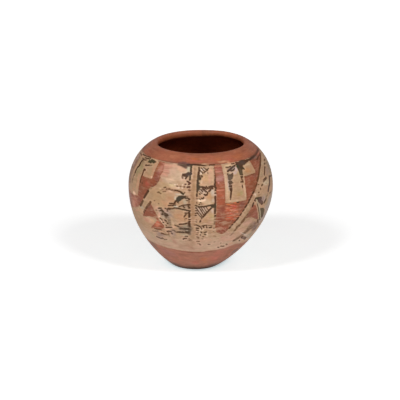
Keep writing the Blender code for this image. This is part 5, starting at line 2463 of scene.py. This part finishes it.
@dataclass(frozen=True)
class BakeMap:
    """Where the parts of a half lie in its square map, as a start and a length each.

    The painted face fills most of the square. The hidden face, the faces that join the two
    and the flat ends, which have many corners, lie in strips below it. A face counts as
    painted if more than the whole share of its corners are.
    """

    painted: Pair = (0.064, 0.934)
    hidden: Pair = (0.003, 0.033)
    upper_join: float = 0.048
    lower_join: float = 0.040
    join_width: float = 0.004
    end_face: float = 0.056
    end_start: float = 0.02
    end_length: float = 0.45
    end_shift: float = 0.5
    margin: float = 0.002
    whole: float = 0.99

    def lay(self, mesh: Mesh, share: np.ndarray, rise: np.ndarray, outer: np.ndarray) -> None:
        """Lay the map.

        Args:
            mesh: Mesh of the half.
            share: Place of each corner round the half, 0 to 1.
            rise: Place of each corner up the coat, 0 to 1.
            outer: Whether each corner lies on the painted face.
        """
        corners = np.empty(len(mesh.loops), dtype=np.int32)
        mesh.loops.foreach_get("vertex_index", corners)
        sizes = np.empty(len(mesh.polygons), dtype=np.int32)
        mesh.polygons.foreach_get("loop_total", sizes)
        faces = np.repeat(np.arange(len(sizes)), sizes)
        shown = (np.bincount(faces, weights=outer[corners]) / sizes)[faces]
        many, skin = sizes[faces] > QUAD, outer[corners] * self.join_width
        across, up = share[corners], rise[corners]
        height = np.where(up > 0.5, self.upper_join, self.lower_join) + skin
        height = np.where(shown > self.whole, self.painted[0] + self.painted[1] * up, height)
        height = np.where(shown < 1.0 - self.whole, self.hidden[0] + self.hidden[1] * up, height)
        height = np.where(many, self.end_face + skin, height)
        along = self.end_start + self.end_length * up + self.end_shift * np.round(across)
        across = self.margin + (1.0 - 2.0 * self.margin) * np.where(many, along, across)
        layer = mesh.uv_layers.new(name="OFBake")
        layer.data.foreach_set("uv", np.column_stack([across, height]).astype(np.float32).ravel())


@dataclass
class PaintedWall:
    """Coat of cream slip in two halves, which carries the brushwork."""

    turning: Turning
    coats: CoatSizes
    effects: Effects
    columns: int = 720
    stride: float = 0.0005
    hidden_stride: float = 0.0125
    finish: PaintFinish = PaintFinish()
    bake_map: BakeMap = BakeMap()

    def add_half(self, half: Half, material: Material) -> None:
        """Build and paint one half of the coat.

        Args:
            half: Which half it is.
            material: Its material.
        """
        wall, slip = self.turning.wall, self.coats.slip
        low, high = self.coats.base_band, wall.length - self.coats.rim_band - self.coats.seam
        section = wall.run(low, high, 0.0, self.stride)
        section += wall.run(high, low, slip, self.hidden_stride)
        piece = self.turning.piece(f"painted_wall_{half.name.lower()}", section, self.columns,
                                   half=half)
        places = coordinates(piece.data)
        skin = np.interp(places[:, 2], wall.points[:, 1], wall.points[:, 0])
        outer = np.abs(reach_of(places) - skin) < slip / 4.0
        slant = np.interp(places[:, 2], wall.points[:, 1], wall.slants)
        turn = turn_of(places)
        aside = (turn - half.value + 180.0) % 360.0 - 180.0
        self.bake_map.lay(piece.data, aside / 180.0 + 0.5,
                          np.clip((slant - low) / (high - low), 0.0, 1.0), outer)
        canvas = Canvas(turn, slant / MM, wall)
        canvas.paint(Brushwork())
        canvas.keep(piece.data)
        self.turning.complete(piece, material, Slot.CREAM_SLIP, "cream_slip")

    def build(self) -> None:
        """Build and dress both halves."""
        material = self.finish.material("painted_cream_slip", self.effects)
        for half in Half:
            self.add_half(half, material)


# ---- The studio ----


@dataclass(frozen=True)
class Lamp:
    """One square soft lamp, with its place, its side in metres and its power in watts."""

    name: str
    place: tuple[float, float, float]
    size: float
    power: float

    def build(self, aim: Vector) -> None:
        """Add the lamp.

        Args:
            aim: Point that it faces.
        """
        bpy.ops.object.light_add(type="AREA", location=self.place)
        lamp = bpy.context.active_object
        lamp.name = self.name
        lamp.data.size = self.size
        lamp.data.energy = self.power
        lamp.rotation_euler = (aim - Vector(self.place)).to_track_quat("-Z", "Y").to_euler()


@dataclass
class Studio:
    """White sweep, soft light from all round and the camera.

    The floor's lift is what the camera alone sees on it, from the jar outwards. Near the jar it is
    stronger and bluer: painted light that lightens the jar's shadow at its foot and cancels the
    jar's reddish light on the floor.
    """

    aim: tuple[float, float, float] = (-0.0008, 0.0, 0.0684)
    distance: float = 1.8
    elevation: float = 17.18
    lens: float = 153.8
    sensor: float = 36.0
    floor_size: float = 6.0
    floor_white: float = 0.92
    floor_roughness: float = 0.9
    world_strength: float = 0.27
    lamps: tuple[Lamp, ...] = (
        Lamp("lamp_left", (-1.13, -1.13, 1.5), 0.40, 15.0),
        Lamp("lamp_right", (1.13, -1.13, 1.5), 0.40, 15.0),
        Lamp("lamp_front", (0.0, -2.2, 0.25), 1.2, 10.8))
    # Lift by distance from the jar: the stronger, bluer stops near it are painted light over the
    # jar's shadow and reddish bounce; the far stop keeps the floor white.
    floor_lift: tuple[tuple[float, Colour], ...] = (
        (0.025, (0.43, 0.51, 0.525)), (0.045, (0.45, 0.52, 0.53)), (0.08, (0.43, 0.46, 0.465)),
        (0.14, (0.425, 0.43, 0.432)), (0.25, (0.43, 0.43, 0.43)), (0.9, (0.80, 0.80, 0.80)))

    def build_floor(self) -> None:
        """Build the pale floor, which keeps the jar's shadow, lightened near the jar by painted
        light.
        """
        bpy.ops.object.select_all(action="DESELECT")
        bpy.ops.mesh.primitive_plane_add(size=self.floor_size)
        floor = bpy.context.active_object
        floor.name = "floor"
        made, sheet, shader = blank_material("white_sweep", WHITE)
        shader.inputs["Base Color"].default_value = (*(self.floor_white,) * 3, 1.0)
        shader.inputs["Roughness"].default_value = self.floor_roughness
        shader.inputs["Specular IOR Level"].default_value = 0.0
        rays = sheet.node("ShaderNodeLightPath")
        length = sheet.node("ShaderNodeVectorMath", operation="LENGTH")
        sheet.feed(length.inputs[0], sheet.node("ShaderNodeTexCoord").outputs["Object"])
        lift = sheet.node("ShaderNodeValToRGB")
        sheet.feed(lift.inputs[0], length.outputs["Value"])
        stops = lift.color_ramp.elements
        for index, (place, colour) in enumerate(self.floor_lift):
            stop = stops[index] if index < 2 else stops.new(place)
            stop.position = place
            stop.color = (*colour, 1.0)
        sheet.feed(shader.inputs["Emission Color"], lift.outputs["Color"])
        sheet.feed(shader.inputs["Emission Strength"], rays.outputs["Is Camera Ray"])
        dress(floor, made)

    def build_world(self) -> None:
        """Build the white surroundings."""
        world = bpy.data.worlds.new("white_tent")
        bpy.context.scene.world = world
        world.use_nodes = True
        sheet = Sheet(world.node_tree)
        back = world.node_tree.nodes["Background"]
        back.inputs["Color"].default_value = (*WHITE, 1.0)
        rays = sheet.node("ShaderNodeLightPath")
        strength = sheet.node("ShaderNodeMix", data_type="FLOAT")
        sheet.feed(strength.inputs["Factor"], rays.outputs["Is Camera Ray"])
        strength.inputs[2].default_value = self.world_strength
        strength.inputs[3].default_value = 1.0
        sheet.feed(back.inputs["Strength"], strength.outputs[0])

    def build_camera(self) -> None:
        """Add the camera at the photograph's angle."""
        rise = math.radians(self.elevation)
        back = Vector((0.0, -math.cos(rise), math.sin(rise)))
        bpy.ops.object.camera_add(location=Vector(self.aim) + back * self.distance)
        camera = bpy.context.active_object
        camera.data.lens = self.lens
        camera.data.sensor_width = self.sensor
        camera.rotation_euler = (-back).to_track_quat("-Z", "Y").to_euler()
        bpy.context.scene.camera = camera

    def build(self) -> None:
        """Build the whole stage."""
        self.build_floor()
        self.build_world()
        for lamp in self.lamps:
            lamp.build(Vector(self.aim))
        self.build_camera()
        bpy.context.scene.view_settings.view_transform = "Standard"


def main() -> None:
    """Build the jar and its stage."""
    logging.basicConfig(level=logging.INFO, format="%(name)s: %(message)s")
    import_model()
    turning, coats, effects = Turning(WallForm()), CoatSizes(), Effects()
    ClayBody(turning, coats, effects).build()
    RedCoats(turning, coats, effects).build()
    PaintedWall(turning, coats, effects).build()
    Studio().build()


if __name__ == "__main__":
    main()
